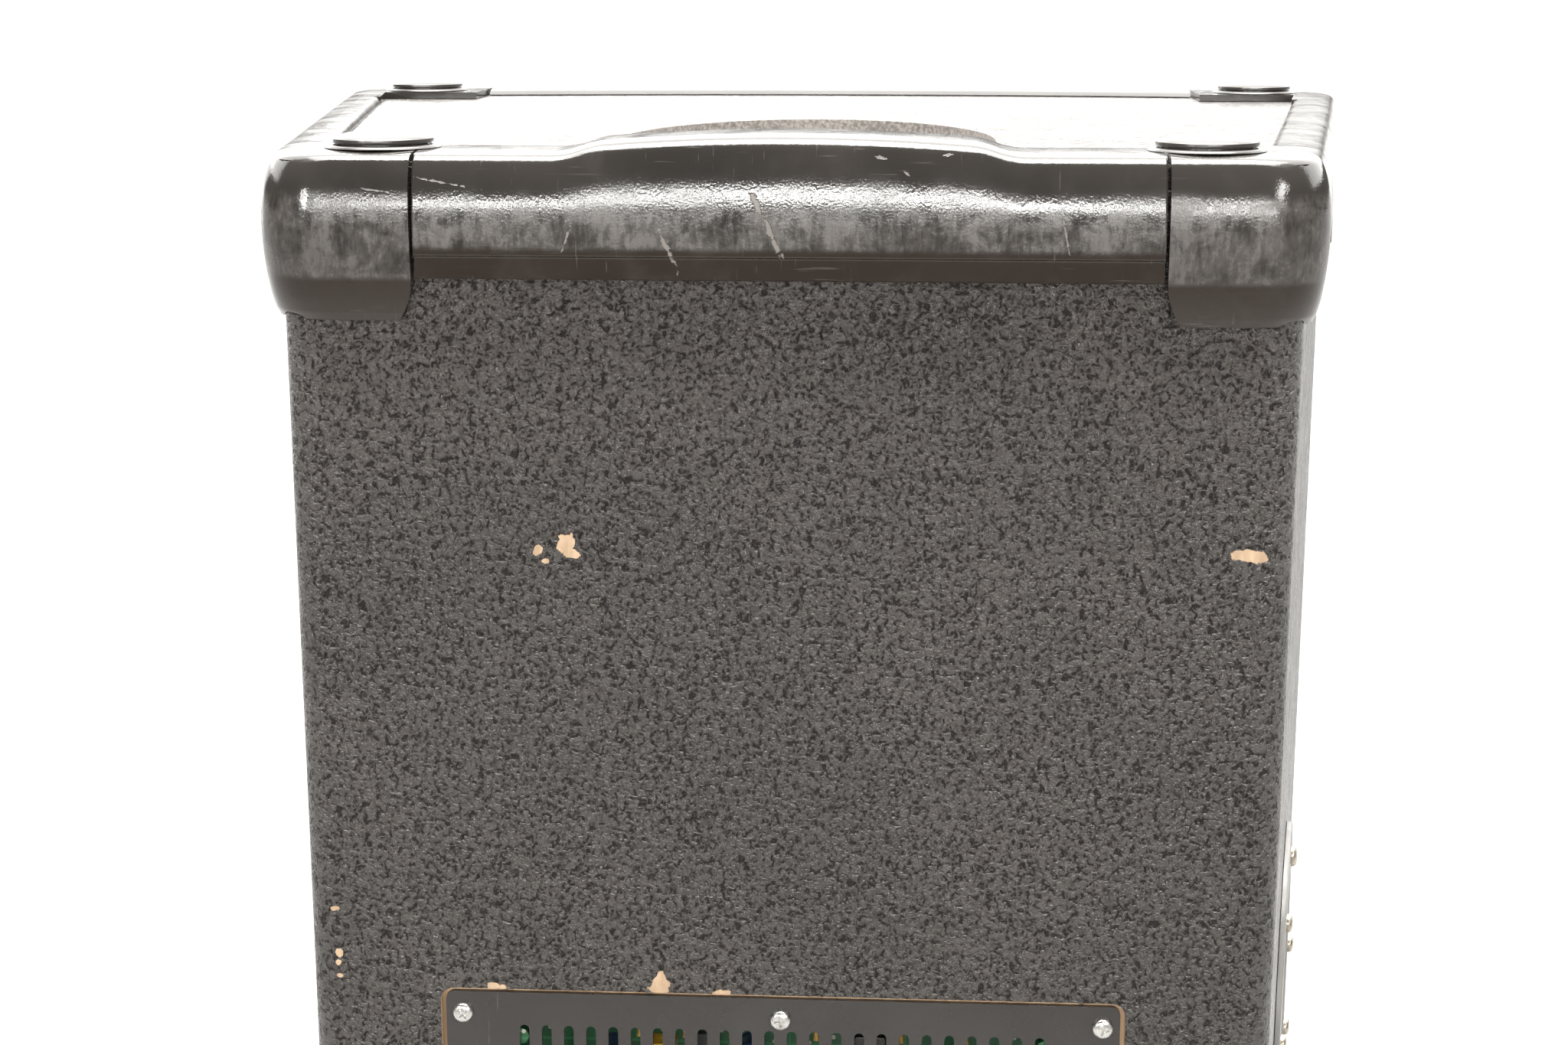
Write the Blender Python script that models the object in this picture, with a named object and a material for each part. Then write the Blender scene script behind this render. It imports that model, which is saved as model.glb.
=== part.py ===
"""Active PA speaker cabinet: a splayed wooden box between two moulded plastic end frames.

+Z is up, the grille faces -Y, the amplifier plate faces +Y, and the origin is on the floor
under the middle of the bounding box. Left and right are -X and +X, as seen from the front.
"""

import math

import bmesh
import bpy
from mathutils import Matrix, Vector

# ---------------------------------------------------------------- driving dimensions (metres)
GAP = 0.0003                 # between two pieces that touch
REAR_WIDTH = 0.365           # wooden box, across the rear panel
WOOD_DEPTH = 0.471           # rear panel's face to the crown of the curved front edge
WOOD_HEIGHT = 0.742          # outer faces of the top and bottom panels
SPLAY = math.radians(9.35)   # each side opens towards the front by this angle
FRONT_RADIUS = 1.14          # plan radius of the curved front edges
WALL = 0.015                 # plywood of the box
REAR_EDGE_RADIUS = 0.011     # rounding of the rear upright edges

SKIRT_REACH = 0.008          # how far the frames stand out from the box
FRAME_LIP = 0.0035           # how far the frames stand above the wood
BAR_SKIRT = 0.0445           # height of a bar or rail on the outside
CAP_SKIRT = 0.060            # height of a corner cap on the outside
REAR_FLANGE = 0.037          # how far the rear bar laps over the wood
SIDE_FLANGE = 0.016          # how far the side rails lap over the wood
FRONT_FLANGE = 0.018         # how far the front bar laps over the wood
FRONT_REACH = 0.016          # how far the front bar stands out
REAR_SEAM_X = 0.1335         # joint between the rear bar and a rear cap
REAR_CAP_LENGTH = 0.050      # rear cap, along the side
FRONT_CAP_LENGTH = 0.079     # front cap, along the side
FRONT_SEAM_X = 0.185         # joint between the front bar and a front cap
REAR_CAP_RADIUS = 0.026
FRONT_CAP_RADIUS = 0.020
FRAME_SEAM = 0.0012          # open joint between neighbouring frame pieces

HUMP_HALF_LENGTH = 0.084     # raised grip of the upper rear bar
HUMP_RAMP = 0.008
HUMP_HEIGHT = 0.0030
CROWN_HEIGHT = 0.0035        # extra rise at the middle of the grip
LIFT_DEPTH = 0.022           # how far down the skirt the grip's rise fades out
RECESS_HALF_WIDTH = 0.076    # finger recess in the top panel
RECESS_START = 0.042         # from the rear face
RECESS_STRAIGHT_END = 0.120
RECESS_APEX = 0.250
CUP_DEPTH = 0.044            # finger cup, below the top panel
CUP_WALL = 0.0025
CUP_TAPER = 0.012

FOOT_RADIUS = 0.0185
FOOT_HEIGHT = 0.0048
FOOT_WAIST = 0.0160          # radius under the lip
FOOT_CROWN = 0.0130          # radius of the ring that touches the floor
REAR_FOOT_X = 0.149
REAR_FOOT_INSET = 0.023      # from the rear face
FRONT_FOOT_X = 0.2155
FRONT_FOOT_INSET = 0.427

BAFFLE_THICKNESS = 0.018
BAFFLE_SETBACK = 0.0435      # baffle's face behind the crown of the front edge
GRILLE_THICKNESS = 0.0015
GRILLE_OUTSET = 0.0040       # grille's back, in front of the wood's edge
GRILLE_TUCK = 0.020          # how far the grille runs up behind the front bars
GRILLE_ROOM = 0.0075         # inner face of the front bars' skirts
RAIL_WIDTH = 0.014
RAIL_LIP = 0.0016

WOOFER_RISE = 0.2124         # woofer's axis, above the bottom panel
WOOFER_RADIUS = 0.194
WOOFER_CUTOUT = 0.177
WOOFER_FLANGE = 0.006
CONE_RADIUS = 0.150
CONE_DEPTH = 0.072
CONE_THICKNESS = 0.0014
DUST_CAP_RADIUS = 0.058
DUST_CAP_RISE = 0.020
COIL_RADIUS = 0.038
COIL_CLEARANCE = 0.0005
SURROUND_ROLL = 0.011
SURROUND_INNER = 0.0005      # radial clearance between the cone's rim and the surround
BASKET_DEPTH = 0.098
MAGNET_RADIUS = 0.085
MAGNET_DEPTH = 0.048

HORN_DROP = 0.1136           # horn's axis, below the top panel
HORN_FLANGE_SIZE = (0.350, 0.158)
HORN_MOUTH_SIZE = (0.308, 0.122)
HORN_DEPTH = 0.125
HORN_WALL = 0.004
HORN_FLANGE_THICKNESS = 0.005
THROAT_RADIUS = 0.0125
DRIVER_RADIUS = 0.055
DRIVER_DEPTH = 0.058

PORT_X = 0.170
PORT_RISE = 0.242            # ports' axes, above the woofer's
PORT_RADIUS = 0.034
PORT_WALL = 0.003
PORT_LENGTH = 0.130
PORT_LIP = 0.007

BRACE_CLEARANCE = 0.003      # brace below the horn's flange
BRACE_THICKNESS = 0.012
BRACE_BORDER = 0.050

PLATE_WIDTH = 0.258          # amplifier's rear plate
PLATE_BOTTOM_RISE = 0.069    # plate's lower edge, above the lower frame's face
PLATE_TOP_DROP = 0.320       # plate's upper edge, below the upper frame's face
PLATE_SHIFT = 0.0025         # the plate sits this far towards +X
PLATE_THICKNESS = 0.0022
PLATE_CORNER = 0.0035
REBATE_DEPTH = 0.0035
REBATE_CLEARANCE = 0.0018
REBATE_LEDGE = 0.011
SLOT_COUNT = 24
SLOT_WIDTH = 0.0037
SLOT_LENGTH = 0.045
SLOT_EDGE = 0.0302           # first slot's axis, from the plate's side edge
SLOT_DROP = 0.0133           # slot's upper end, below the plate's upper edge

KNOB_DROP = 0.102            # rows, below the plate's upper edge
SOCKET_DROP = 0.154
MAINS_RISE = 0.036           # row, above the plate's lower edge
LEVEL_INSET = 0.051          # columns, from the plate's right edge as seen from behind
TONE_INSET = 0.091
BUTTON_INSET = 0.128
INPUT_INSET = 0.055
LINK_INSET = 0.099
INLET_INSET = 0.046          # columns, from the plate's left edge
SWITCH_INSET = 0.096
KNOB_RADIUS = 0.0085
KNOB_HEIGHT = 0.0085
SHAFT_RADIUS = 0.003
SHAFT_CLEARANCE = 0.0003
KNOB_STANDOFF = 0.0006
BUTTON_RADIUS = 0.0040
BUTTON_REACH = 0.0055
SOCKET_BODY_RADIUS = 0.0118
SOCKET_FLANGE = (0.026, 0.031)
SOCKET_BORE = 0.0096
INLET_FLANGE = (0.050, 0.031)
INLET_BODY = (0.0275, 0.0200)
INLET_MOUTH = (0.0245, 0.0165)
SWITCH_BODY = (0.0195, 0.0130)
SWITCH_BEZEL = 0.0016
ROCKER_CLEARANCE = 0.0006
ROCKER_TIP = math.radians(9)   # tilt to either side of the middle; it rests tipped to off

BOARD_SIDE = 0.022           # board's side edge, inside the plate's
BOARD_HEIGHT = 0.070
BOARD_THICKNESS = 0.0016
BOARD_STANDOFF = 0.014
BOARD_DROP = 0.013           # board's upper edge, below the plate's upper edge
POST_RADIUS = 0.0035
POST_SINK = 0.0008           # how deep a post goes into the board
HEATSINK_SIDE = 0.012        # clear of the opening's edge
HEATSINK_CLEARANCE = 0.009   # clear of the push switch
HEATSINK_DROP = 0.096        # heatsink's upper edge, below the plate's upper edge
HEATSINK_RISE = 0.061        # heatsink's lower edge, above the plate's lower edge
HEATSINK_BASE = 0.006
HEATSINK_DEPTH = 0.034
HEATSINK_FINS = 9
FIN_THICKNESS = 0.005
TRANSFORMER_RADIUS = 0.052
TRANSFORMER_HEIGHT = 0.048
TRANSFORMER_PLACE = (-0.085, 0.110)

POLE_RADIUS = 0.0178
POLE_WALL = 0.003
POLE_DEPTH = 0.095
POLE_FLANGE = 0.048
POLE_Y = -0.020

HANDLE_SIZE = (0.140, 0.200)  # side handle's plate, along the side and upright
HANDLE_OPENING = (0.092, 0.150)
HANDLE_PLATE = 0.0025
HANDLE_CUP_DEPTH = 0.058
HANDLE_CUP_WALL = 0.0025
HANDLE_CUP_TAPER = 0.008
HANDLE_Z = 0.336
HANDLE_INSET = 0.200         # handle's middle, from the rear face

# ---------------------------------------------------------------- places that follow from them
TOTAL_DEPTH = SKIRT_REACH + WOOD_DEPTH + FRONT_REACH
REAR_Y = TOTAL_DEPTH / 2 - SKIRT_REACH
FRONT_Y = REAR_Y - WOOD_DEPTH
FRAME_BOTTOM = FOOT_HEIGHT + GAP
WOOD_BOTTOM = FRAME_BOTTOM + FRAME_LIP
WOOD_TOP = WOOD_BOTTOM + WOOD_HEIGHT
FRAME_TOP = WOOD_TOP + FRAME_LIP
INSIDE_BOTTOM = WOOD_BOTTOM + WALL
INSIDE_TOP = WOOD_TOP - WALL
BAFFLE_Y = FRONT_Y + BAFFLE_SETBACK
WOOFER_Z = INSIDE_BOTTOM + WOOFER_RISE
HORN_Z = INSIDE_TOP - HORN_DROP
PORT_Z = WOOFER_Z + PORT_RISE
BRACE_Z = HORN_Z - HORN_FLANGE_SIZE[1] / 2 - BRACE_CLEARANCE - BRACE_THICKNESS
PLATE_HEIGHT = FRAME_TOP - PLATE_TOP_DROP - FRAME_BOTTOM - PLATE_BOTTOM_RISE
PLATE_Z = FRAME_TOP - PLATE_TOP_DROP - PLATE_HEIGHT / 2
PLATE_FACE_Y = REAR_Y - REBATE_DEPTH + GAP + PLATE_THICKNESS
KNOB_ROW = PLATE_HEIGHT / 2 - KNOB_DROP
SOCKET_ROW = PLATE_HEIGHT / 2 - SOCKET_DROP
MAINS_ROW = MAINS_RISE - PLATE_HEIGHT / 2
LEVEL_X, TONE_X, BUTTON_X = (PLATE_WIDTH / 2 - inset for inset in (LEVEL_INSET, TONE_INSET, BUTTON_INSET))
INPUT_X, LINK_X = PLATE_WIDTH / 2 - INPUT_INSET, PLATE_WIDTH / 2 - LINK_INSET
INLET_X, SWITCH_X = INLET_INSET - PLATE_WIDTH / 2, SWITCH_INSET - PLATE_WIDTH / 2
BOARD_SIZE = (PLATE_WIDTH - 2 * BOARD_SIDE, BOARD_HEIGHT)

# Outside profile of the frames, from the face to the skirt's foot: (outset, depth)
FRAME_PROFILE = [
    (-0.0070, 0.0), (-0.0012, 0.0006), (0.0026, 0.0020), (0.0046, 0.0050), (0.0066, 0.0110),
    (0.0077, 0.0185), (0.0080, 0.0250),
]

FACING_FRONT = Matrix.Rotation(math.radians(90), 4, "X")
FACING_REAR = Matrix.Rotation(math.radians(180), 4, "Z") @ FACING_FRONT
MATERIALS = {}


# ---------------------------------------------------------------- plan geometry
def half_width(y, outset=0.0):
    """Half the width between two planes that stand outset from the sides' outer faces."""
    return REAR_WIDTH / 2 + (REAR_Y - y) * math.tan(SPLAY) + outset / math.cos(SPLAY)


def front_y(x, outset=0.0):
    """Y of the curve that runs outset in front of the wood's curved front edge."""
    return FRONT_Y + FRONT_RADIUS - math.sqrt((FRONT_RADIUS + outset) ** 2 - x * x)


def front_corner(side_outset, front_outset):
    """Where a side plane meets a front curve, on the +X side."""
    x = half_width(FRONT_Y, side_outset)
    for _ in range(20):
        x = half_width(front_y(x, front_outset), side_outset)
    return x, front_y(x, front_outset)


def circle(radius, segments, center=(0.0, 0.0)):
    """Points of a circle in plan, counter-clockwise."""
    turns = [2 * math.pi * i / segments for i in range(segments)]
    return [(center[0] + radius * math.cos(t), center[1] + radius * math.sin(t)) for t in turns]


def rounded(points, radii, steps=4):
    """A polygon whose corners are replaced by arcs; a zero radius keeps the corner."""
    outline = []
    count = len(points)
    for i, radius in enumerate(radii):
        corner = Vector(points[i])
        before = (Vector(points[i - 1]) - corner).normalized()
        after = (Vector(points[(i + 1) % count]) - corner).normalized()
        if radius <= 0:
            outline.append(tuple(corner))
            continue
        half_angle = before.angle(after) / 2
        center = corner + (before + after).normalized() * radius / math.sin(half_angle)
        start = corner + before * radius / math.tan(half_angle) - center
        turn = start.angle_signed(corner + after * radius / math.tan(half_angle) - center)
        for k in range(steps + 1):
            spoke = start.copy()
            spoke.rotate(Matrix.Rotation(-turn * k / steps, 2))
            outline.append(tuple(center + spoke))
    return outline


def rounded_rectangle(width, height, radius, steps=3, center=(0.0, 0.0)):
    """A rectangle with rounded corners, counter-clockwise."""
    x, y = width / 2, height / 2
    corners = [(x, -y), (x, y), (-x, y), (-x, -y)]
    moved = [(center[0] + a, center[1] + b) for a, b in corners]
    return rounded(moved, [radius] * 4, steps)


def body_outline(side_outset, front_outset, rear_radius, steps=4, front_steps=14):
    """The whole box in plan, with its curved front and rounded rear corners."""
    rear_y = REAR_Y + side_outset
    corner_x, _ = front_corner(side_outset, front_outset)
    xs = [-corner_x + 2 * corner_x * i / front_steps for i in range(front_steps + 1)]
    points = [(half_width(rear_y, side_outset), rear_y), (-half_width(rear_y, side_outset), rear_y)]
    points += [(x, front_y(x, front_outset)) for x in xs]
    return rounded(points, [rear_radius, rear_radius] + [0] * len(xs), steps)


# ---------------------------------------------------------------- mesh helpers
def skin(rings, loop=False):
    """A solid through rings of equal length; its ends are capped unless it closes on itself."""
    mesh = bmesh.new()
    rows = [[mesh.verts.new(point) for point in ring] for ring in rings]
    pairs = list(zip(rows, rows[1:])) + ([(rows[-1], rows[0])] if loop else [])
    for lower, upper in pairs:
        for i, vertex in enumerate(lower):
            mesh.faces.new((lower[i - 1], vertex, upper[i], upper[i - 1]))
    if not loop:
        mesh.faces.new(rows[0])
        mesh.faces.new(rows[-1])
    return mesh


def stack(outlines, heights, loop=False):
    """A solid through plan outlines at the given heights."""
    return skin([[(x, y, z) for x, y in outline] for outline, z in zip(outlines, heights)], loop)


def turned(profile, segments, loop=False):
    """A turned solid about Z through (radius, height) points."""
    outlines = [circle(radius, segments) for radius, _ in profile]
    return stack(outlines, [height for _, height in profile], loop)


def plate(outline, holes, low, high):
    """A flat plate with holes, between two heights."""
    mesh = bmesh.new()
    floors = []
    for z in (low, high):
        rows = [[mesh.verts.new((x, y, z)) for x, y in points] for points in [outline, *holes]]
        edges = [mesh.edges.new((row[i - 1], row[i])) for row in rows for i in range(len(row))]
        bmesh.ops.triangle_fill(mesh, edges=edges, use_beauty=True)
        floors.append(rows)
    for lower, upper in zip(*floors):
        for i, vertex in enumerate(lower):
            mesh.faces.new((lower[i - 1], vertex, upper[i], upper[i - 1]))
    return mesh


def material(name, color, roughness, metallic=0.0):
    """A named Principled material."""
    made = bpy.data.materials.new(name)
    made.use_nodes = True
    shader = made.node_tree.nodes["Principled BSDF"]
    shader.inputs["Base Color"].default_value = (*color, 1.0)
    shader.inputs["Roughness"].default_value = roughness
    shader.inputs["Metallic"].default_value = metallic
    MATERIALS[name] = made


def add(name, mesh, finish, place=None, round_shape=False):
    """Turns a mesh into a named object at a place, with its finish."""
    bmesh.ops.recalc_face_normals(mesh, faces=mesh.faces)
    data = bpy.data.meshes.new(name)
    mesh.to_mesh(data)
    mesh.free()
    if round_shape:
        data.shade_smooth()
        data.set_sharp_from_angle(angle=math.radians(35))
    made = bpy.data.objects.new(name, data)
    bpy.context.scene.collection.objects.link(made)
    made.matrix_world = place or Matrix.Identity(4)
    if finish:
        data.materials.append(MATERIALS[finish])
    return made


def cutter(name, mesh, place=None):
    """A guide solid for a Boolean, which isn't a piece of the cabinet."""
    made = add(name, mesh, None, place)
    made.hide_render = True
    made.display_type = "WIRE"
    return made


def combine(target, other, operation):
    """Cuts a guide solid out of a piece, or joins it on."""
    step = target.modifiers.new(other.name, "BOOLEAN")
    step.operation = operation
    step.object = other


def at(x, y, z, turn=None):
    """A placing matrix."""
    return Matrix.Translation((x, y, z)) @ (turn or Matrix.Identity(4))


def on_plate(x, z):
    """A place on the amplifier plate's outer face; x runs to the right as seen from behind."""
    return at(PLATE_SHIFT - x, PLATE_FACE_Y, PLATE_Z + z, FACING_REAR)


def side_turn(side):
    """Turns +Z to the outward normal of a side panel, and keeps +Y upright."""
    outward = Vector((side * math.cos(SPLAY), math.sin(SPLAY), 0))
    upright = Vector((0, 0, 1))
    along = upright.cross(outward)
    return Matrix((along, upright, outward)).transposed().to_4x4()


# ---------------------------------------------------------------- the wooden box
def recess_outline(margin=0.0):
    """The finger recess in plan: straight sides and a half ellipse towards the front."""
    half = RECESS_HALF_WIDTH - margin
    reach = RECESS_APEX - RECESS_STRAIGHT_END - margin
    rear = REAR_Y - RECESS_START - margin
    bend = REAR_Y - RECESS_STRAIGHT_END
    arc = [math.pi * i / 16 for i in range(17)]
    return [(half, rear)] + [(half * math.cos(t), bend - reach * math.sin(t)) for t in arc] + [(-half, rear)]


def make_end_panels():
    """Top and bottom panels, with the finger recess and the hole for a pole."""
    outline = body_outline(0.0, 0.0, REAR_EDGE_RADIUS)
    top = plate(outline, [recess_outline()], INSIDE_TOP + GAP, WOOD_TOP)
    add("top_panel", top, "box paint")
    hole = circle(POLE_RADIUS + POLE_WALL + GAP, 20, (0.0, POLE_Y))
    add("bottom_panel", plate(outline, [hole], WOOD_BOTTOM, INSIDE_BOTTOM - GAP), "box paint")


def side_panel_outline(side):
    """A side panel in plan, with its rounded rear edge."""
    inner_x, inner_y = front_corner(-WALL, 0.0)
    outer_x, outer_y = front_corner(0.0, 0.0)
    points = [
        (half_width(REAR_Y), REAR_Y), (half_width(REAR_Y, -WALL), REAR_Y),
        (inner_x, inner_y), (outer_x, outer_y),
    ]
    shape = rounded(points, [REAR_EDGE_RADIUS, 0, 0, 0])
    return [(side * x, y) for x, y in shape]


def handle_place(side, depth=0.0):
    """The side handle's middle, depth below the side panel's face."""
    y = REAR_Y - HANDLE_INSET * math.cos(SPLAY)
    inward = side_turn(side) @ Vector((0, 0, -depth))
    return at(side * half_width(y) + inward.x, y + inward.y, HANDLE_Z, side_turn(side))


def stadium(size, inset=0.0, steps=4):
    """An upright outline with fully rounded ends."""
    width, height = size[0] - 2 * inset, size[1] - 2 * inset
    return rounded_rectangle(width, height, width / 2 - 1e-5, steps)


def make_side_panels():
    """Side panels, each with a window for its handle's cup."""
    for side, name in ((-1, "left"), (1, "right")):
        mesh = stack([side_panel_outline(side)] * 2, [INSIDE_BOTTOM, INSIDE_TOP])
        panel = add(f"side_panel_{name}", mesh, "box paint")
        window = stadium(HANDLE_OPENING, -HANDLE_CUP_WALL - GAP)
        hole = stack([window] * 2, [-2 * WALL, WALL])
        combine(panel, cutter(f"cut_handle_{name}", hole, handle_place(side)), "DIFFERENCE")


def make_rear_panel():
    """Rear panel with the amplifier's opening and its rebate."""
    outer, inner = REAR_Y, REAR_Y - WALL
    near, far = half_width(outer, -WALL) - GAP, half_width(inner, -WALL) - GAP
    rings = [
        [(-near, outer, z), (near, outer, z), (far, inner, z), (-far, inner, z)]
        for z in (INSIDE_BOTTOM, INSIDE_TOP)
    ]
    panel = add("rear_panel", skin(rings), "box paint")
    window = (PLATE_WIDTH - 2 * REBATE_LEDGE, PLATE_HEIGHT - 2 * REBATE_LEDGE)
    rebate = (PLATE_WIDTH + 2 * REBATE_CLEARANCE, PLATE_HEIGHT + 2 * REBATE_CLEARANCE)
    through = stack([rounded_rectangle(*window, 0.008)] * 2, [-2 * WALL, WALL])
    shelf = stack([rounded_rectangle(*rebate, PLATE_CORNER + REBATE_CLEARANCE)] * 2, [-REBATE_DEPTH, WALL])
    place = at(PLATE_SHIFT, REAR_Y, PLATE_Z, FACING_REAR)
    combine(panel, cutter("cut_amp_window", through, place), "DIFFERENCE")
    combine(panel, cutter("cut_amp_rebate", shelf, place), "DIFFERENCE")


def make_baffle():
    """Front baffle with the openings for the woofer, the horn and the two ports."""
    height = INSIDE_TOP - INSIDE_BOTTOM
    middle = (INSIDE_TOP + INSIDE_BOTTOM) / 2
    width = 2 * (half_width(BAFFLE_Y + BAFFLE_THICKNESS, -WALL) - GAP)
    horn_hole = (HORN_MOUTH_SIZE[0] + 2 * HORN_WALL + 2 * GAP, HORN_MOUTH_SIZE[1] + 2 * HORN_WALL + 2 * GAP)
    holes = [
        circle(WOOFER_CUTOUT, 28, (0.0, WOOFER_Z - middle)),
        rounded_rectangle(*horn_hole, 0.012, 3, (0.0, HORN_Z - middle)),
    ]
    holes += [circle(PORT_RADIUS + PORT_WALL + GAP, 20, (side * PORT_X, PORT_Z - middle)) for side in (-1, 1)]
    board = plate(rounded_rectangle(width, height, 0), holes, -BAFFLE_THICKNESS, 0.0)
    add("front_baffle", board, "box inside", at(0, BAFFLE_Y, middle, FACING_FRONT))


def make_brace():
    """Horizontal window brace between the baffle and the rear panel."""
    rear, front = REAR_Y - WALL - GAP, BAFFLE_Y + BAFFLE_THICKNESS + GAP
    corners = [(1, rear), (-1, rear), (-1, front), (1, front)]
    outline = [(s * (half_width(y, -WALL) - GAP), y) for s, y in corners]
    inner = [
        (s * (half_width(y, -WALL - BRACE_BORDER)), y + (-BRACE_BORDER if y > 0 else BRACE_BORDER))
        for s, y in corners
    ]
    window = rounded(inner, [0.02] * 4)
    add("shelf_brace", plate(outline, [window], BRACE_Z, BRACE_Z + BRACE_THICKNESS), "box inside")


def make_finger_cup():
    """Moulded cup under the finger recess."""
    top = INSIDE_TOP
    outer_margins = [-0.006, -0.006, -CUP_WALL, CUP_TAPER - CUP_WALL]
    outer_heights = [top, top - CUP_WALL, top - CUP_WALL, top - CUP_DEPTH]
    outlines = [recess_outline(CUP_TAPER), recess_outline(0.0)] + [recess_outline(m) for m in outer_margins]
    heights = [top - CUP_DEPTH + CUP_WALL, top] + outer_heights
    add("finger_cup", stack(outlines, heights), "moulding", round_shape=False)


# ---------------------------------------------------------------- plastic end frames
def frame_height(end, depth):
    """Height of a point that lies depth inside the upper (+1) or lower (-1) frame's face."""
    return FRAME_TOP - depth if end > 0 else FRAME_BOTTOM + depth


def frame_section(flange, inner_reach, reach, skirt):
    """Closed L section: (outset, depth) from the flange's inner edge round to its underside."""
    shift = reach - SKIRT_REACH
    outside = [(outset + shift, depth) for outset, depth in FRAME_PROFILE]
    foot = [(reach, skirt - 0.0085), (reach - 0.0015, skirt - 0.0070), (reach - 0.0015, skirt)]
    inside = [(inner_reach, skirt), (inner_reach, FRAME_LIP - GAP), (-flange, FRAME_LIP - GAP)]
    return [(-flange, 0.0)] + outside + foot + inside


def grip_lift(x):
    """Rise of the upper rear bar at x: a crowned grip with a short ramp at each end."""
    edge = HUMP_HALF_LENGTH - abs(x)
    if edge <= 0:
        return 0.0
    plateau = HUMP_HEIGHT * min(1.0, edge / HUMP_RAMP)
    span = HUMP_HALF_LENGTH - HUMP_RAMP
    return plateau + CROWN_HEIGHT * max(0.0, 1 - (x / span) ** 2)


def make_rear_bar(end, name, lift):
    """Rear bar of one frame; lift is a function of x that raises its upper part."""
    section = frame_section(REAR_FLANGE, GAP, SKIRT_REACH, BAR_SKIRT)
    reach = REAR_SEAM_X - FRAME_SEAM / 2
    ramp, span = HUMP_HALF_LENGTH - HUMP_RAMP, HUMP_HALF_LENGTH
    half = [reach, span] + [ramp * (1 - i / 5) for i in range(6)]
    stations = sorted({-x for x in half} | set(half))
    rings = []
    for x in stations:
        ring = []
        for outset, depth in section:
            lifted = depth < FRAME_LIP - 2 * GAP or outset > GAP
            rise = lift(x) * max(0.0, 1 - depth / LIFT_DEPTH) if lifted else 0.0
            ring.append((x, REAR_Y + outset, frame_height(end, depth) + end * rise))
        rings.append(ring)
    add(name, skin(rings), "moulding")


def make_front_bar(end, name):
    """Front bar of one frame, which follows the curved front edge."""
    section = frame_section(FRONT_FLANGE, GRILLE_ROOM, FRONT_REACH, BAR_SKIRT)
    reach = FRONT_SEAM_X - FRAME_SEAM / 2
    stations = [-reach + 2 * reach * i / 8 for i in range(9)]
    rings = [
        [(x, front_y(x, outset), frame_height(end, depth)) for outset, depth in section] for x in stations
    ]
    add(name, skin(rings), "moulding")


def make_side_rail(end, side, name):
    """Side rail of one frame, between the two caps."""
    section = frame_section(SIDE_FLANGE, GAP, SKIRT_REACH, BAR_SKIRT)
    rear = REAR_Y - REAR_CAP_LENGTH - FRAME_SEAM
    front = front_corner(0.0, 0.0)[1] + FRONT_CAP_LENGTH + FRAME_SEAM
    rings = [
        [(side * half_width(y, outset), y, frame_height(end, depth)) for outset, depth in section]
        for y in (rear, front)
    ]
    add(name, skin(rings), "moulding")


def rear_cap_outline(outset):
    """A rear cap in plan on the +X side, with its outer edges at outset."""
    seam = REAR_Y - REAR_CAP_LENGTH
    inner = REAR_Y - REAR_CAP_LENGTH + 0.004
    rear = REAR_Y + outset
    points = [
        (REAR_SEAM_X + FRAME_SEAM / 2, rear), (REAR_SEAM_X + FRAME_SEAM / 2, inner),
        (half_width(inner, -SIDE_FLANGE), inner), (half_width(seam, -SIDE_FLANGE), seam),
        (half_width(seam, outset), seam), (half_width(rear, outset), rear),
    ]
    radius = REAR_CAP_RADIUS - (SKIRT_REACH - outset)
    return rounded(points, [0, 0, 0, 0, 0, radius], 5)


def front_cap_outline(outset):
    """A front cap in plan on the +X side, with its outer edges at outset."""
    seam = front_corner(0.0, 0.0)[1] + FRONT_CAP_LENGTH
    inner = REAR_Y - FRONT_FOOT_INSET + FOOT_RADIUS + 0.003
    reach = FRONT_REACH - SKIRT_REACH + outset
    corner = front_corner(outset, reach)
    start = FRONT_SEAM_X + FRAME_SEAM / 2
    waypoint = (start + corner[0]) / 2
    points = [
        (start, inner), (half_width(inner, -SIDE_FLANGE), inner), (half_width(seam, -SIDE_FLANGE), seam),
        (half_width(seam, outset), seam), corner, (waypoint, front_y(waypoint, reach)),
        (start, front_y(start, reach)),
    ]
    radius = FRONT_CAP_RADIUS - (SKIRT_REACH - outset)
    return rounded(points, [0, 0, 0, 0, radius, 0, 0], 5)


def make_cap(end, side, outline_at, name, box):
    """Corner cap: the frame's profile turned round the corner, then hollowed by the box."""
    lower = [(SKIRT_REACH, CAP_SKIRT - 0.0085), (SKIRT_REACH - 0.0015, CAP_SKIRT - 0.0070)]
    profile = FRAME_PROFILE + lower + [(SKIRT_REACH - 0.0030, CAP_SKIRT)]
    outlines = [[(side * x, y) for x, y in outline_at(outset)] for outset, _ in profile]
    cap = add(name, stack(outlines, [frame_height(end, depth) for _, depth in profile]), "moulding")
    combine(cap, box, "DIFFERENCE")


def make_frames():
    """Upper and lower frames: rear bar, front bar, two rails and four caps each."""
    outline = body_outline(GAP, GRILLE_ROOM, REAR_EDGE_RADIUS + GAP)
    box = cutter("cut_box", stack([outline] * 2, [WOOD_BOTTOM - GAP, WOOD_TOP + GAP]))
    make_rear_bar(1, "top_handle_bar", grip_lift)
    make_rear_bar(-1, "bottom_rear_bar", lambda x: 0.0)
    for end, level in ((1, "top"), (-1, "bottom")):
        make_front_bar(end, f"{level}_front_bar")
        for side, name in ((-1, "left"), (1, "right")):
            make_side_rail(end, side, f"{level}_rail_{name}")
            make_cap(end, side, rear_cap_outline, f"{level}_rear_cap_{name}", box)
            make_cap(end, side, front_cap_outline, f"{level}_front_cap_{name}", box)


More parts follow.
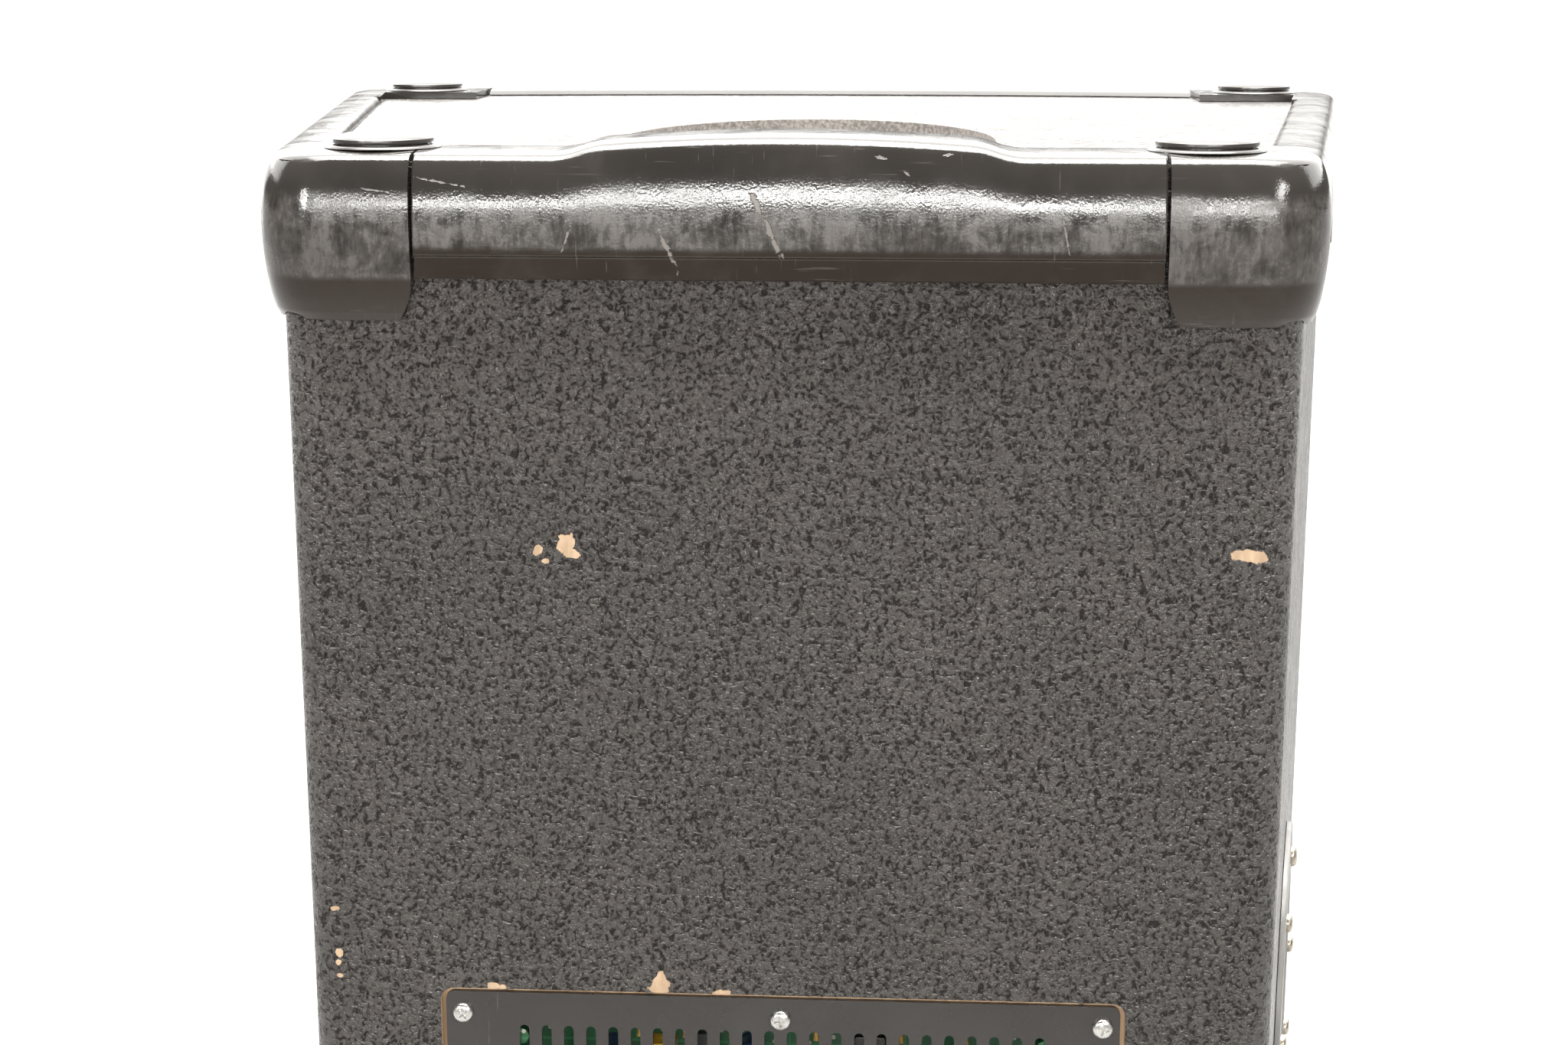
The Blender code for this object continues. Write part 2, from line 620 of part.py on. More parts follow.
def make_feet():
    """Round lipped feet on the corners of both frames."""
    profile = [
        (FOOT_WAIST, 0.0), (FOOT_WAIST, 0.0014), (FOOT_RADIUS, 0.0021), (FOOT_RADIUS, 0.0030),
        (FOOT_CROWN, FOOT_HEIGHT), (FOOT_CROWN - 0.003, FOOT_HEIGHT), (FOOT_CROWN / 2, FOOT_HEIGHT - 0.0006),
    ]
    places = (("rear", REAR_FOOT_X, REAR_FOOT_INSET), ("front", FRONT_FOOT_X, FRONT_FOOT_INSET))
    for level, face, turn in (
        ("top", FRAME_TOP + GAP, Matrix.Identity(4)),
        ("bottom", FRAME_BOTTOM - GAP, Matrix.Rotation(math.pi, 4, "X")),
    ):
        for row, x, inset in places:
            for side, name in ((-1, "left"), (1, "right")):
                place = at(side * x, REAR_Y - inset, face, turn)
                add(f"{level}_foot_{row}_{name}", turned(profile, 16), "rubber", place, True)


# ---------------------------------------------------------------- grille
def make_grille():
    """Curved grille sheet and the two channels that hold its upright edges."""
    low, high = frame_height(-1, BAR_SKIRT - GRILLE_TUCK), frame_height(1, BAR_SKIRT - GRILLE_TUCK)
    edge_x = front_corner(-RAIL_LIP - 0.0012, GRILLE_OUTSET)[0]
    steps = 20
    xs = [-edge_x + 2 * edge_x * i / steps for i in range(steps + 1)]
    back = [(x, front_y(x, GRILLE_OUTSET)) for x in xs]
    face = [(x, front_y(x, GRILLE_OUTSET + GRILLE_THICKNESS)) for x in reversed(xs)]
    add("front_grille", stack([back + face] * 2, [low, high]), "grille")
    for side, name in ((-1, "left"), (1, "right")):
        channel = stack([channel_outline(side)] * 2, [WOOD_BOTTOM, WOOD_TOP])
        add(f"grille_channel_{name}", channel, "metal black")


def channel_outline(side):
    """A grille channel in plan: back, outer wall and a lip over the sheet's edge."""
    back = GAP
    sheet_back = GRILLE_OUTSET - GAP
    sheet_face = GRILLE_OUTSET + GRILLE_THICKNESS + GAP
    face = GRILLE_ROOM - GAP
    stops = [
        (0.0, back), (-RAIL_WIDTH, back), (-RAIL_WIDTH, sheet_back), (-RAIL_LIP, sheet_back),
        (-RAIL_LIP, sheet_face), (-RAIL_WIDTH / 2, sheet_face), (-RAIL_WIDTH / 2, face), (0.0, face),
    ]
    return [(side * x, y) for x, y in (front_corner(inset, outset) for inset, outset in stops)]


# ---------------------------------------------------------------- drivers
def make_woofer():
    """Woofer: basket, magnet, spider and surround, with the cone and dust cap that move."""
    mouth = BAFFLE_Y - GAP
    place = at(0, mouth, WOOFER_Z, FACING_FRONT)
    inner = CONE_RADIUS + SURROUND_INNER
    seat = WOOFER_FLANGE + GAP
    back = -BASKET_DEPTH
    basket = turned([
        (WOOFER_RADIUS, 0.0), (WOOFER_RADIUS, WOOFER_FLANGE), (WOOFER_CUTOUT - 0.012, WOOFER_FLANGE),
        (WOOFER_CUTOUT - 0.014, -0.016), (0.074, back + 0.004), (0.046, back + 0.004), (0.046, back),
        (0.078, back), (WOOFER_CUTOUT - 0.007, -0.020), (WOOFER_CUTOUT - 0.004, 0.0),
    ], 28, loop=True)
    frame = add("woofer_frame", basket, "metal black", place, True)
    combine(frame, cutter("cut_basket", basket_windows(), place), "DIFFERENCE")
    slot = COIL_RADIUS + COIL_CLEARANCE + 0.001
    magnet = turned([
        (0.026, -MAGNET_DEPTH), (MAGNET_RADIUS, -MAGNET_DEPTH), (MAGNET_RADIUS, 0.0), (slot, 0.0),
        (slot, -0.030), (0.026, -0.030),
    ], 28, loop=True)
    add("woofer_magnet", magnet, "magnet", place @ at(0, 0, back - GAP), True)
    add("woofer_spider", spider_rings(), "spider", place @ at(0, 0, back + 0.004 + GAP), True)
    roll = surround_profile(inner, WOOFER_CUTOUT - 0.002)
    add("woofer_surround", turned(roll, 28, loop=True), "surround", place @ at(0, 0, seat), True)
    add("woofer_cone", cone_mesh(), "cone", place @ at(0, 0, seat), True)
    rest = seat + height_on(cone_face(), DUST_CAP_RADIUS) + 2 * GAP
    add("dust_cap", turned(dome_profile(), 28), "cone", place @ at(0, 0, rest), True)


def dome_profile():
    """Dust cap: a thin shell cut from a sphere."""
    sphere = (DUST_CAP_RADIUS ** 2 + DUST_CAP_RISE ** 2) / (2 * DUST_CAP_RISE)
    reach = math.asin(DUST_CAP_RADIUS / sphere)
    turns = [reach * (1 - i / 4) for i in range(4)]
    dome = [(sphere * math.sin(t), sphere * (math.cos(t) - 1) + DUST_CAP_RISE) for t in turns]
    return dome + [(radius * 0.985, height - 0.0006) for radius, height in reversed(dome)]


def cone_outline():
    """The cone's back, from its rim to its neck: (radius, height), slightly curved."""
    return [(CONE_RADIUS, 0.0), (CONE_RADIUS * 0.62, -CONE_DEPTH * 0.46), (COIL_RADIUS, -CONE_DEPTH)]


def cone_face():
    """The cone's front, from its neck to its rim: (radius, height)."""
    rim, knee, neck = cone_outline()
    return [
        (neck[0] - CONE_THICKNESS, neck[1] + CONE_THICKNESS), (knee[0], knee[1] + CONE_THICKNESS),
        (rim[0] - 0.001, CONE_THICKNESS),
    ]


def height_on(line, radius):
    """Height at a radius of a line of (radius, height) points that runs outwards."""
    for (r1, z1), (r2, z2) in zip(line, line[1:]):
        if radius <= r2:
            break
    return z1 + (z2 - z1) * (radius - r1) / (r2 - r1)


def basket_windows():
    """Six wedges that open the basket's side between its spokes."""
    mesh = bmesh.new()
    for i in range(6):
        turn = Matrix.Rotation(2 * math.pi * i / 6, 4, "Z")
        wedge = Matrix.Translation((0.125, 0, -0.054)) @ Matrix.Diagonal((0.13, 0.072, 0.048, 1))
        bmesh.ops.create_cube(mesh, size=1.0, matrix=turn @ wedge)
    return mesh


def spider_rings():
    """Corrugated disc between the basket's back and the voice coil."""
    inner, outer = COIL_RADIUS + COIL_CLEARANCE, 0.072
    steps = 6
    lower = []
    for i in range(steps + 1):
        share = i / steps
        wave = 0.0030 if i % 2 else 0.0
        lower.append((inner + (outer - inner) * share, wave))
    upper = [(radius, height + 0.0010) for radius, height in reversed(lower)]
    return turned(lower + upper, 28, loop=True)


def surround_profile(inner, outer):
    """Half-roll surround: a thin arch with a flat rim on the basket's flange."""
    middle, half = inner + SURROUND_ROLL + 0.0015, SURROUND_ROLL
    arc = [math.pi * i / 4 for i in range(5)]
    under = [(middle - half * math.cos(t), half * 0.8 * math.sin(t)) for t in arc]
    over = [(middle - (half + 0.001) * math.cos(t), half * 0.8 * math.sin(t) + 0.001) for t in arc]
    return [(inner, 0.0)] + under + [(outer, 0.0), (outer, 0.001)] + over[::-1] + [(inner, 0.001)]


def cone_mesh():
    """Paper cone with the voice-coil former as one turned shell."""
    tail = -BASKET_DEPTH - WOOFER_FLANGE - 0.014
    back = cone_outline()
    former = [(COIL_RADIUS, tail), (COIL_RADIUS - CONE_THICKNESS, tail)]
    return turned(back + former + cone_face(), 28, loop=True)


def mouth_ring(size, roundness, z, segments=28):
    """A ring that is a rectangle at roundness 0 and an ellipse at roundness 1."""
    ring = []
    for i in range(segments):
        turn = 2 * math.pi * (i + 0.5) / segments
        c, s = math.cos(turn), math.sin(turn)
        power = 2 / (2 + 8 * (1 - roundness))
        x = math.copysign(abs(c) ** power, c) * size[0] / 2
        y = math.copysign(abs(s) ** power, s) * size[1] / 2
        ring.append((x, y, z))
    return ring


def make_horn():
    """Horn flare from a rectangular mouth to a round throat, and its compression driver."""
    inside, outside = [], []
    for i in range(6):
        share = i / 5
        flare = share ** 1.7
        width = 2 * THROAT_RADIUS + (HORN_MOUTH_SIZE[0] - 2 * THROAT_RADIUS) * flare
        height = 2 * THROAT_RADIUS + (HORN_MOUTH_SIZE[1] - 2 * THROAT_RADIUS) * flare
        z = -HORN_DEPTH * (1 - share) + HORN_FLANGE_THICKNESS * share
        wall = 2 * HORN_WALL
        inside.append(mouth_ring((width, height), 1 - share, z))
        outside.append(mouth_ring((width + wall, height + wall), 1 - share, z if i < 5 else 0.0))
    flange = [mouth_ring(HORN_FLANGE_SIZE, 0.0, z) for z in (0.0, HORN_FLANGE_THICKNESS)]
    place = at(0, BAFFLE_Y - GAP, HORN_Z, FACING_FRONT)
    add("horn", skin(outside + flange + inside[::-1], loop=True), "horn", place, True)
    body = turned([
        (DRIVER_RADIUS * 0.55, 0.0), (DRIVER_RADIUS * 0.55, -0.010), (DRIVER_RADIUS, -0.012),
        (DRIVER_RADIUS, -DRIVER_DEPTH + 0.008), (DRIVER_RADIUS * 0.86, -DRIVER_DEPTH),
    ], 24)
    add("compression_driver", body, "magnet", place @ at(0, 0, -HORN_DEPTH - GAP), True)


def make_ports():
    """Two flared bass ports."""
    outer = PORT_RADIUS + PORT_WALL
    profile = [
        (outer, -PORT_LENGTH), (outer, 0.0), (outer + PORT_LIP, 0.0), (outer + PORT_LIP, 0.0025),
        (PORT_RADIUS + 0.004, 0.0025), (PORT_RADIUS, -0.006), (PORT_RADIUS, -PORT_LENGTH),
    ]
    for side, name in ((-1, "left"), (1, "right")):
        place = at(side * PORT_X, BAFFLE_Y - GAP, PORT_Z, FACING_FRONT)
        add(f"port_tube_{name}", turned(profile, 20, loop=True), "moulding", place, True)


# ---------------------------------------------------------------- amplifier
def slot_outline(x):
    """One upright vent slot with round ends."""
    upper = PLATE_HEIGHT / 2 - SLOT_DROP
    middle = upper - SLOT_LENGTH / 2
    return rounded_rectangle(SLOT_WIDTH, SLOT_LENGTH, SLOT_WIDTH / 2 - 1e-5, 1, (x, middle))


def make_amp_plate():
    """Rear plate with its vent slots and the holes for the controls."""
    pitch = (PLATE_WIDTH - 2 * SLOT_EDGE) / (SLOT_COUNT - 1)
    holes = [slot_outline(-PLATE_WIDTH / 2 + SLOT_EDGE + pitch * i) for i in range(SLOT_COUNT)]
    shaft = SHAFT_RADIUS + SHAFT_CLEARANCE
    holes += [circle(shaft, 12, (x, KNOB_ROW)) for x in (LEVEL_X, TONE_X)]
    holes += [circle(BUTTON_RADIUS + SHAFT_CLEARANCE, 12, (BUTTON_X, KNOB_ROW))]
    holes += [circle(SOCKET_BODY_RADIUS + GAP, 20, (x, SOCKET_ROW)) for x in (INPUT_X, LINK_X)]
    for x, size in ((INLET_X, INLET_BODY), (SWITCH_X, SWITCH_BODY)):
        holes.append(rounded_rectangle(size[0] + 2 * GAP, size[1] + 2 * GAP, 0, center=(x, MAINS_ROW)))
    outline = rounded_rectangle(PLATE_WIDTH, PLATE_HEIGHT, PLATE_CORNER)
    add("amp_plate", plate(outline, holes, -PLATE_THICKNESS, 0.0), "metal black", on_plate(0, 0))


def make_board():
    """Circuit board behind the vent slots, on four posts."""
    z = PLATE_HEIGHT / 2 - BOARD_DROP - BOARD_SIZE[1] / 2
    back = -PLATE_THICKNESS - BOARD_STANDOFF
    outline = rounded_rectangle(*BOARD_SIZE, 0)
    sheet = stack([outline] * 2, [back - BOARD_THICKNESS, back])
    board = add("amp_circuit_board", sheet, "board", on_plate(0, z))
    x, y = BOARD_SIZE[0] / 2 - 0.006, BOARD_SIZE[1] / 2 - 0.006
    posts = bmesh.new()
    for px, py in ((x, y), (-x, y), (-x, -y), (x, -y)):
        middle = Matrix.Translation((px, py, (back - PLATE_THICKNESS - GAP) / 2 - POST_SINK / 2))
        height = BOARD_STANDOFF - GAP + POST_SINK
        bmesh.ops.create_cone(
            posts, cap_ends=True, segments=8, radius1=POST_RADIUS, radius2=POST_RADIUS,
            depth=height, matrix=middle,
        )
    combine(board, cutter("add_posts", posts, on_plate(0, z)), "UNION")


def make_heatsink():
    """Finned heatsink on the back of the plate, beside the sockets."""
    right = BUTTON_X - BUTTON_RADIUS - HEATSINK_CLEARANCE
    width = right + PLATE_WIDTH / 2 - REBATE_LEDGE - HEATSINK_SIDE
    height = PLATE_HEIGHT - HEATSINK_DROP - HEATSINK_RISE
    middle = (PLATE_HEIGHT / 2 - HEATSINK_DROP) - height / 2
    back = -PLATE_THICKNESS - GAP
    pitch = (width - FIN_THICKNESS) / (HEATSINK_FINS - 1)
    outline = [(-width / 2, back), (width / 2, back)]
    for i in range(HEATSINK_FINS):
        near = width / 2 - pitch * i
        far = near - FIN_THICKNESS
        outline += [(near, back - HEATSINK_DEPTH), (far, back - HEATSINK_DEPTH)]
        if i < HEATSINK_FINS - 1:
            outline += [(far, back - HEATSINK_BASE), (near - pitch, back - HEATSINK_BASE)]
    rings = [[(x, y, z) for x, z in outline] for y in (-height / 2, height / 2)]
    add("amp_heatsink", skin(rings), "aluminium", on_plate(right - width / 2, middle))


def make_transformer():
    """Toroidal mains transformer on the bottom panel."""
    r, h = TRANSFORMER_RADIUS, TRANSFORMER_HEIGHT
    profile = [
        (r - 0.008, 0.0), (r, 0.008), (r, h - 0.008), (r - 0.008, h), (0.022, h), (0.016, h - 0.006),
        (0.016, 0.006), (0.022, 0.0),
    ]
    place = at(*TRANSFORMER_PLACE, INSIDE_BOTTOM)
    add("power_transformer", turned(profile, 20, loop=True), "transformer", place, True)


def knob_profile():
    """Pointer knob: a slim waist, a fluted body and the shaft that goes through the plate."""
    low = KNOB_STANDOFF
    return [
        (SHAFT_RADIUS, -0.008), (SHAFT_RADIUS, low), (KNOB_RADIUS, low), (KNOB_RADIUS, low + 0.002),
        (KNOB_RADIUS * 0.84, low + 0.0035), (KNOB_RADIUS * 0.76, KNOB_HEIGHT - 0.001),
        (KNOB_RADIUS * 0.66, KNOB_HEIGHT),
    ]


def make_controls():
    """Two rotary knobs and a push switch."""
    for name, x in (("level_knob", LEVEL_X), ("tone_knob", TONE_X)):
        add(name, turned(knob_profile(), 16), "knob", on_plate(x, KNOB_ROW), True)
    profile = [
        (BUTTON_RADIUS, -0.008), (BUTTON_RADIUS, BUTTON_REACH - 0.0008),
        (BUTTON_RADIUS - 0.0008, BUTTON_REACH),
    ]
    add("contour_button", turned(profile, 12), "knob", on_plate(BUTTON_X, KNOB_ROW), True)


def flanged_socket(flange, body, bore, body_depth, bore_depth):
    """A socket with its mouth in a flange: outlines of the flange, body and bore."""
    low, high = GAP, GAP + 0.0022
    outlines = [bore, bore, flange, flange, body, body]
    heights = [high - bore_depth, high, high, low, low, -body_depth]
    return stack(outlines, heights)


def make_sockets():
    """Combination input socket, link socket and mains inlet."""
    flange = rounded_rectangle(*SOCKET_FLANGE, 0.003, 4)
    count = len(flange)
    first_corner = Matrix.Rotation(-math.pi / 4 - math.pi / count, 2)
    body = [tuple(first_corner @ Vector(point)) for point in circle(SOCKET_BODY_RADIUS, count)]
    bore = [tuple(first_corner @ Vector(point)) for point in circle(SOCKET_BORE, count)]
    for name, x in (("input_socket", INPUT_X), ("link_socket", LINK_X)):
        socket = flanged_socket(flange, body, bore, 0.020, 0.018)
        add(name, socket, "socket", on_plate(x, SOCKET_ROW))
    flange = rounded_rectangle(*INLET_FLANGE, 0.004, 2)
    body = rounded_rectangle(*INLET_BODY, 0.0008, 2)
    mouth = rounded_rectangle(*INLET_MOUTH, 0.002, 2)
    inlet = flanged_socket(flange, body, mouth, 0.022, 0.018)
    add("mains_inlet", inlet, "socket", on_plate(INLET_X, MAINS_ROW))


def make_switch():
    """Power switch: a bezel in the plate and the rocker that tips in it."""
    width, height = SWITCH_BODY
    bezel = rounded_rectangle(width + 0.004, height + 0.004, 0.001, 2)
    body = rounded_rectangle(width, height, 0.0005, 2)
    bore = rounded_rectangle(width - 2 * SWITCH_BEZEL, height - 2 * SWITCH_BEZEL, 0.0004, 2)
    housing = flanged_socket(bezel, body, bore, 0.018, 0.0155)
    add("switch_housing", housing, "socket", on_plate(SWITCH_X, MAINS_ROW))
    half = width / 2 - SWITCH_BEZEL - ROCKER_CLEARANCE
    thick = height / 2 - SWITCH_BEZEL - ROCKER_CLEARANCE
    dip, shoulder, foot = 0.0026, 0.0030, -0.0050
    side = [
        (-half, shoulder), (-half / 2, shoulder), (0.0, dip), (half / 2, shoulder), (half, shoulder),
        (half * 0.6, foot), (-half * 0.6, foot),
    ]
    rings = [[(x, y, z) for x, z in side] for y in (-thick, thick)]
    place = on_plate(SWITCH_X, MAINS_ROW) @ Matrix.Rotation(-ROCKER_TIP, 4, "Y")
    add("switch_rocker", skin(rings), "rocker", place)


# ---------------------------------------------------------------- fittings
def make_side_handles():
    """Flush-mounted handle: a round-ended plate with a deep cup."""
    outer = [stadium(HANDLE_SIZE)] * 2
    cup = [stadium(HANDLE_OPENING, i * HANDLE_CUP_TAPER) for i in (1, 0)]
    shell = [stadium(HANDLE_OPENING, i * HANDLE_CUP_TAPER - HANDLE_CUP_WALL) for i in (0, 1)]
    outlines = cup + outer + shell
    face, back = HANDLE_PLATE + GAP, GAP
    heights = [-HANDLE_CUP_DEPTH + HANDLE_CUP_WALL, face, face, back, back, -HANDLE_CUP_DEPTH]
    for side, name in ((-1, "left"), (1, "right")):
        add(f"side_handle_{name}", stack(outlines, heights), "handle metal", handle_place(side))


def make_pole_socket():
    """Pole cup in the bottom panel."""
    outer = POLE_RADIUS + POLE_WALL
    low = WOOD_BOTTOM - GAP
    profile = [
        (POLE_RADIUS, low - 0.002), (POLE_FLANGE, low - 0.002), (POLE_FLANGE, low), (outer, low),
        (outer, low + POLE_DEPTH), (0.0, low + POLE_DEPTH),
    ]
    cavity = [(0.0, low + POLE_DEPTH - POLE_WALL), (POLE_RADIUS, low + POLE_DEPTH - POLE_WALL)]
    points = [(max(r, 0.001), z) for r, z in cavity + profile]
    add("pole_socket", turned(points, 20), "metal black", at(0, POLE_Y, 0), True)


def make_materials():
    """One finish for each kind of surface."""
    material("box paint", (0.060, 0.055, 0.050), 0.45)
    material("box inside", (0.050, 0.046, 0.042), 0.8)
    material("moulding", (0.055, 0.050, 0.046), 0.32)
    material("rubber", (0.035, 0.033, 0.032), 0.5)
    material("grille", (0.045, 0.045, 0.045), 0.5, 0.6)
    material("metal black", (0.040, 0.040, 0.042), 0.38, 0.7)
    material("handle metal", (0.32, 0.32, 0.31), 0.45, 0.4)
    material("magnet", (0.12, 0.12, 0.12), 0.6, 0.2)
    material("spider", (0.45, 0.30, 0.10), 0.9)
    material("surround", (0.03, 0.03, 0.03), 0.85)
    material("cone", (0.025, 0.025, 0.025), 0.8)
    material("horn", (0.025, 0.025, 0.026), 0.4)
    material("board", (0.03, 0.20, 0.06), 0.5)
    material("aluminium", (0.55, 0.56, 0.57), 0.4, 1.0)
    material("transformer", (0.10, 0.09, 0.06), 0.5)
    material("socket", (0.02, 0.02, 0.02), 0.45)
    material("knob", (0.03, 0.03, 0.03), 0.5)
    material("rocker", (0.02, 0.02, 0.02), 0.35)


def main():
    """Builds the whole cabinet."""
    for old in list(bpy.data.objects):
        bpy.data.objects.remove(old, do_unlink=True)
    make_materials()
    make_end_panels()
    make_side_panels()
    make_rear_panel()
    make_baffle()
    make_brace()
    make_finger_cup()
    make_frames()
    make_feet()
    make_grille()
    make_woofer()
    make_horn()
    make_ports()
    make_amp_plate()
    make_board()
    make_heatsink()
    make_transformer()
    make_controls()
    make_sockets()
    make_switch()
    make_side_handles()
    make_pole_socket()


main()
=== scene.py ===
import logging
import math
from collections.abc import Callable, Sequence
from dataclasses import dataclass
from enum import Enum

import bmesh
import bpy
from mathutils import Matrix, Vector

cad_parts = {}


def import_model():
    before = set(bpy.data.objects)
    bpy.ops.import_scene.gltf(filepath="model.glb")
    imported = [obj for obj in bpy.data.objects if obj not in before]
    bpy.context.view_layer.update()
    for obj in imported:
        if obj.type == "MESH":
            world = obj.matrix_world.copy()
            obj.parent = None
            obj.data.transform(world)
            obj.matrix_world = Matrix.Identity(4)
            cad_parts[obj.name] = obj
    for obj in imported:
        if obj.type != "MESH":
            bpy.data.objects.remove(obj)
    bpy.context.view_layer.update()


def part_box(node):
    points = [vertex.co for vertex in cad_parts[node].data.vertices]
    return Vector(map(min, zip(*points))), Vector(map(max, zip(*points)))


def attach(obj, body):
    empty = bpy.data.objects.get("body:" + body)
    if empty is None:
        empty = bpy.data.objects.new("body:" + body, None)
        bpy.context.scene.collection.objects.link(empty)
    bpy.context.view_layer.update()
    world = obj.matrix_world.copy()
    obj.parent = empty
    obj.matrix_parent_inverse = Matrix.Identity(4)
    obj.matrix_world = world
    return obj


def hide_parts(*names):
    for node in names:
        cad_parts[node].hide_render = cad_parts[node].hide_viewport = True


LOG = logging.getLogger("speaker_cabinet")
Point = tuple[float, float]
Socket = bpy.types.NodeSocket
Finishes = dict[str, bpy.types.Material]
UP = Vector((0.0, 0.0, 1.0))
FACING_FRONT = Matrix.Rotation(math.radians(90), 4, "X")
FACING_REAR = Matrix.Rotation(math.radians(180), 4, "Z") @ FACING_FRONT


# ---------------------------------------------------------------- layout of the frame
class Side(Enum):
    """The two flanks of the cabinet, as seen from the grille."""

    LEFT = -1
    RIGHT = 1


class Level(Enum):
    """The two moulded end frames."""

    TOP = 1
    BOTTOM = -1


@dataclass(frozen=True)
class Layout:
    """Planes of the cabinet's frame and the curves of its plan, in metres."""

    rear_y: float
    front_y: float
    wood_bottom: float
    wood_top: float
    frame_bottom: float
    frame_top: float
    inside_bottom: float
    inside_top: float
    baffle_y: float
    plate_low: Vector
    plate_high: Vector
    gap: float = 0.0003
    wall: float = 0.015
    rear_half_width: float = 0.1825
    splay: float = math.radians(9.35)
    front_radius: float = 1.14

    @classmethod
    def measure(cls) -> "Layout":
        """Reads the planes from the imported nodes.

        Returns:
            The layout of this cabinet.
        """
        wood_low, wood_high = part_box("bottom_panel")[0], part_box("top_panel")[1]
        side_low, side_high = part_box("side_panel_left")
        plate_low, plate_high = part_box("amp_plate")
        return cls(
            rear_y=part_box("rear_panel")[1].y, front_y=wood_low.y, wood_bottom=wood_low.z,
            wood_top=wood_high.z, frame_bottom=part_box("bottom_rail_left")[0].z,
            frame_top=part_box("top_rail_left")[1].z, inside_bottom=side_low.z, inside_top=side_high.z,
            baffle_y=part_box("front_baffle")[0].y, plate_low=plate_low, plate_high=plate_high,
        )

    def half_width(self, y: float, outset: float = 0.0) -> float:
        """Half the width between planes outset from the splayed sides.

        Args:
            y: depth at which the width is taken.
            outset: distance of the planes outside the wood.

        Returns:
            The half width in metres.
        """
        return self.rear_half_width + (self.rear_y - y) * math.tan(self.splay) + outset / math.cos(self.splay)

    def curve_y(self, x: float, outset: float = 0.0) -> float:
        """Y of the curve that runs outset in front of the wood's curved front edge."""
        return self.front_y + self.front_radius - math.sqrt((self.front_radius + outset) ** 2 - x * x)

    def front_corner(self, side_outset: float, front_outset: float) -> Point:
        """Where a side plane meets a front curve on the right.

        Args:
            side_outset: outset of the side plane.
            front_outset: outset of the front curve.

        Returns:
            The corner in plan.
        """
        x = self.half_width(self.front_y, side_outset)
        for _ in range(20):
            x = self.half_width(self.curve_y(x, front_outset), side_outset)
        return x, self.curve_y(x, front_outset)

    def level_z(self, level: Level, depth: float) -> float:
        """Height of a point that lies depth inside a frame's face."""
        return self.frame_top - depth if level is Level.TOP else self.frame_bottom + depth

    def on_plate(self, x: float, z: float, lift: float = 0.0) -> Matrix:
        """A place on the amplifier plate; x runs to the right as seen from behind.

        Args:
            x: distance from the plate's middle.
            z: height from the plate's middle.
            lift: distance outside the plate's face.

        Returns:
            The placing matrix, with +Z pointing out of the plate.
        """
        middle = (self.plate_low + self.plate_high) / 2
        return Matrix.Translation((middle.x - x, self.plate_high.y + lift, middle.z + z)) @ FACING_REAR

    def on_baffle(self, x: float, z: float, lift: float = 0.0) -> Matrix:
        """A place on the front baffle, with +Z pointing out of it."""
        return Matrix.Translation((x, self.baffle_y - self.gap - lift, z)) @ FACING_FRONT

    def on_side(self, side: Side, depth: float, z: float, lift: float = 0.0) -> Matrix:
        """A place on a side panel's face, with +Z pointing out of it and +Y upright.

        Args:
            side: which flank.
            depth: distance along the side from the rear face.
            z: height above the floor.
            lift: distance outside the wood.

        Returns:
            The placing matrix.
        """
        y = self.rear_y - depth * math.cos(self.splay)
        outward = Vector((side.value * math.cos(self.splay), math.sin(self.splay), 0.0))
        turn = Matrix((UP.cross(outward), UP, outward)).transposed().to_4x4()
        start = Vector((side.value * self.half_width(y), y, z)) + outward * lift
        return Matrix.Translation(start) @ turn


# ---------------------------------------------------------------- outlines in plan
def circle(radius: float, steps: int, centre: Point = (0.0, 0.0)) -> list[Point]:
    """Points of a circle, counter-clockwise."""
    turns = [2 * math.pi * i / steps for i in range(steps)]
    return [(centre[0] + radius * math.cos(t), centre[1] + radius * math.sin(t)) for t in turns]


def rounded(points: Sequence[Point], radii: Sequence[float], steps: int = 8) -> list[Point]:
    """A polygon whose corners are replaced by arcs.

    Args:
        points: the corners.
        radii: a radius for each corner; zero keeps it sharp.
        steps: segments in each arc.

    Returns:
        The rounded outline.
    """
    outline: list[Point] = []
    for i, radius in enumerate(radii):
        corner = Vector(points[i])
        before = (Vector(points[i - 1]) - corner).normalized()
        after = (Vector(points[(i + 1) % len(points)]) - corner).normalized()
        if radius <= 0:
            outline.append((corner.x, corner.y))
            continue
        half = before.angle(after) / 2
        centre = corner + (before + after).normalized() * radius / math.sin(half)
        start = corner + before * radius / math.tan(half) - centre
        turn = start.angle_signed(corner + after * radius / math.tan(half) - centre)
        for k in range(steps + 1):
            spoke = start.copy()
            spoke.rotate(Matrix.Rotation(-turn * k / steps, 2))
            outline.append((centre.x + spoke.x, centre.y + spoke.y))
    return outline


def rounded_box(
    width: float, height: float, radius: float, steps: int = 6, centre: Point = (0.0, 0.0),
) -> list[Point]:
    """A rectangle with rounded corners, counter-clockwise."""
    x, y = width / 2, height / 2
    corners = [(x, -y), (x, y), (-x, y), (-x, -y)]
    return rounded([(centre[0] + a, centre[1] + b) for a, b in corners], [radius] * 4, steps)


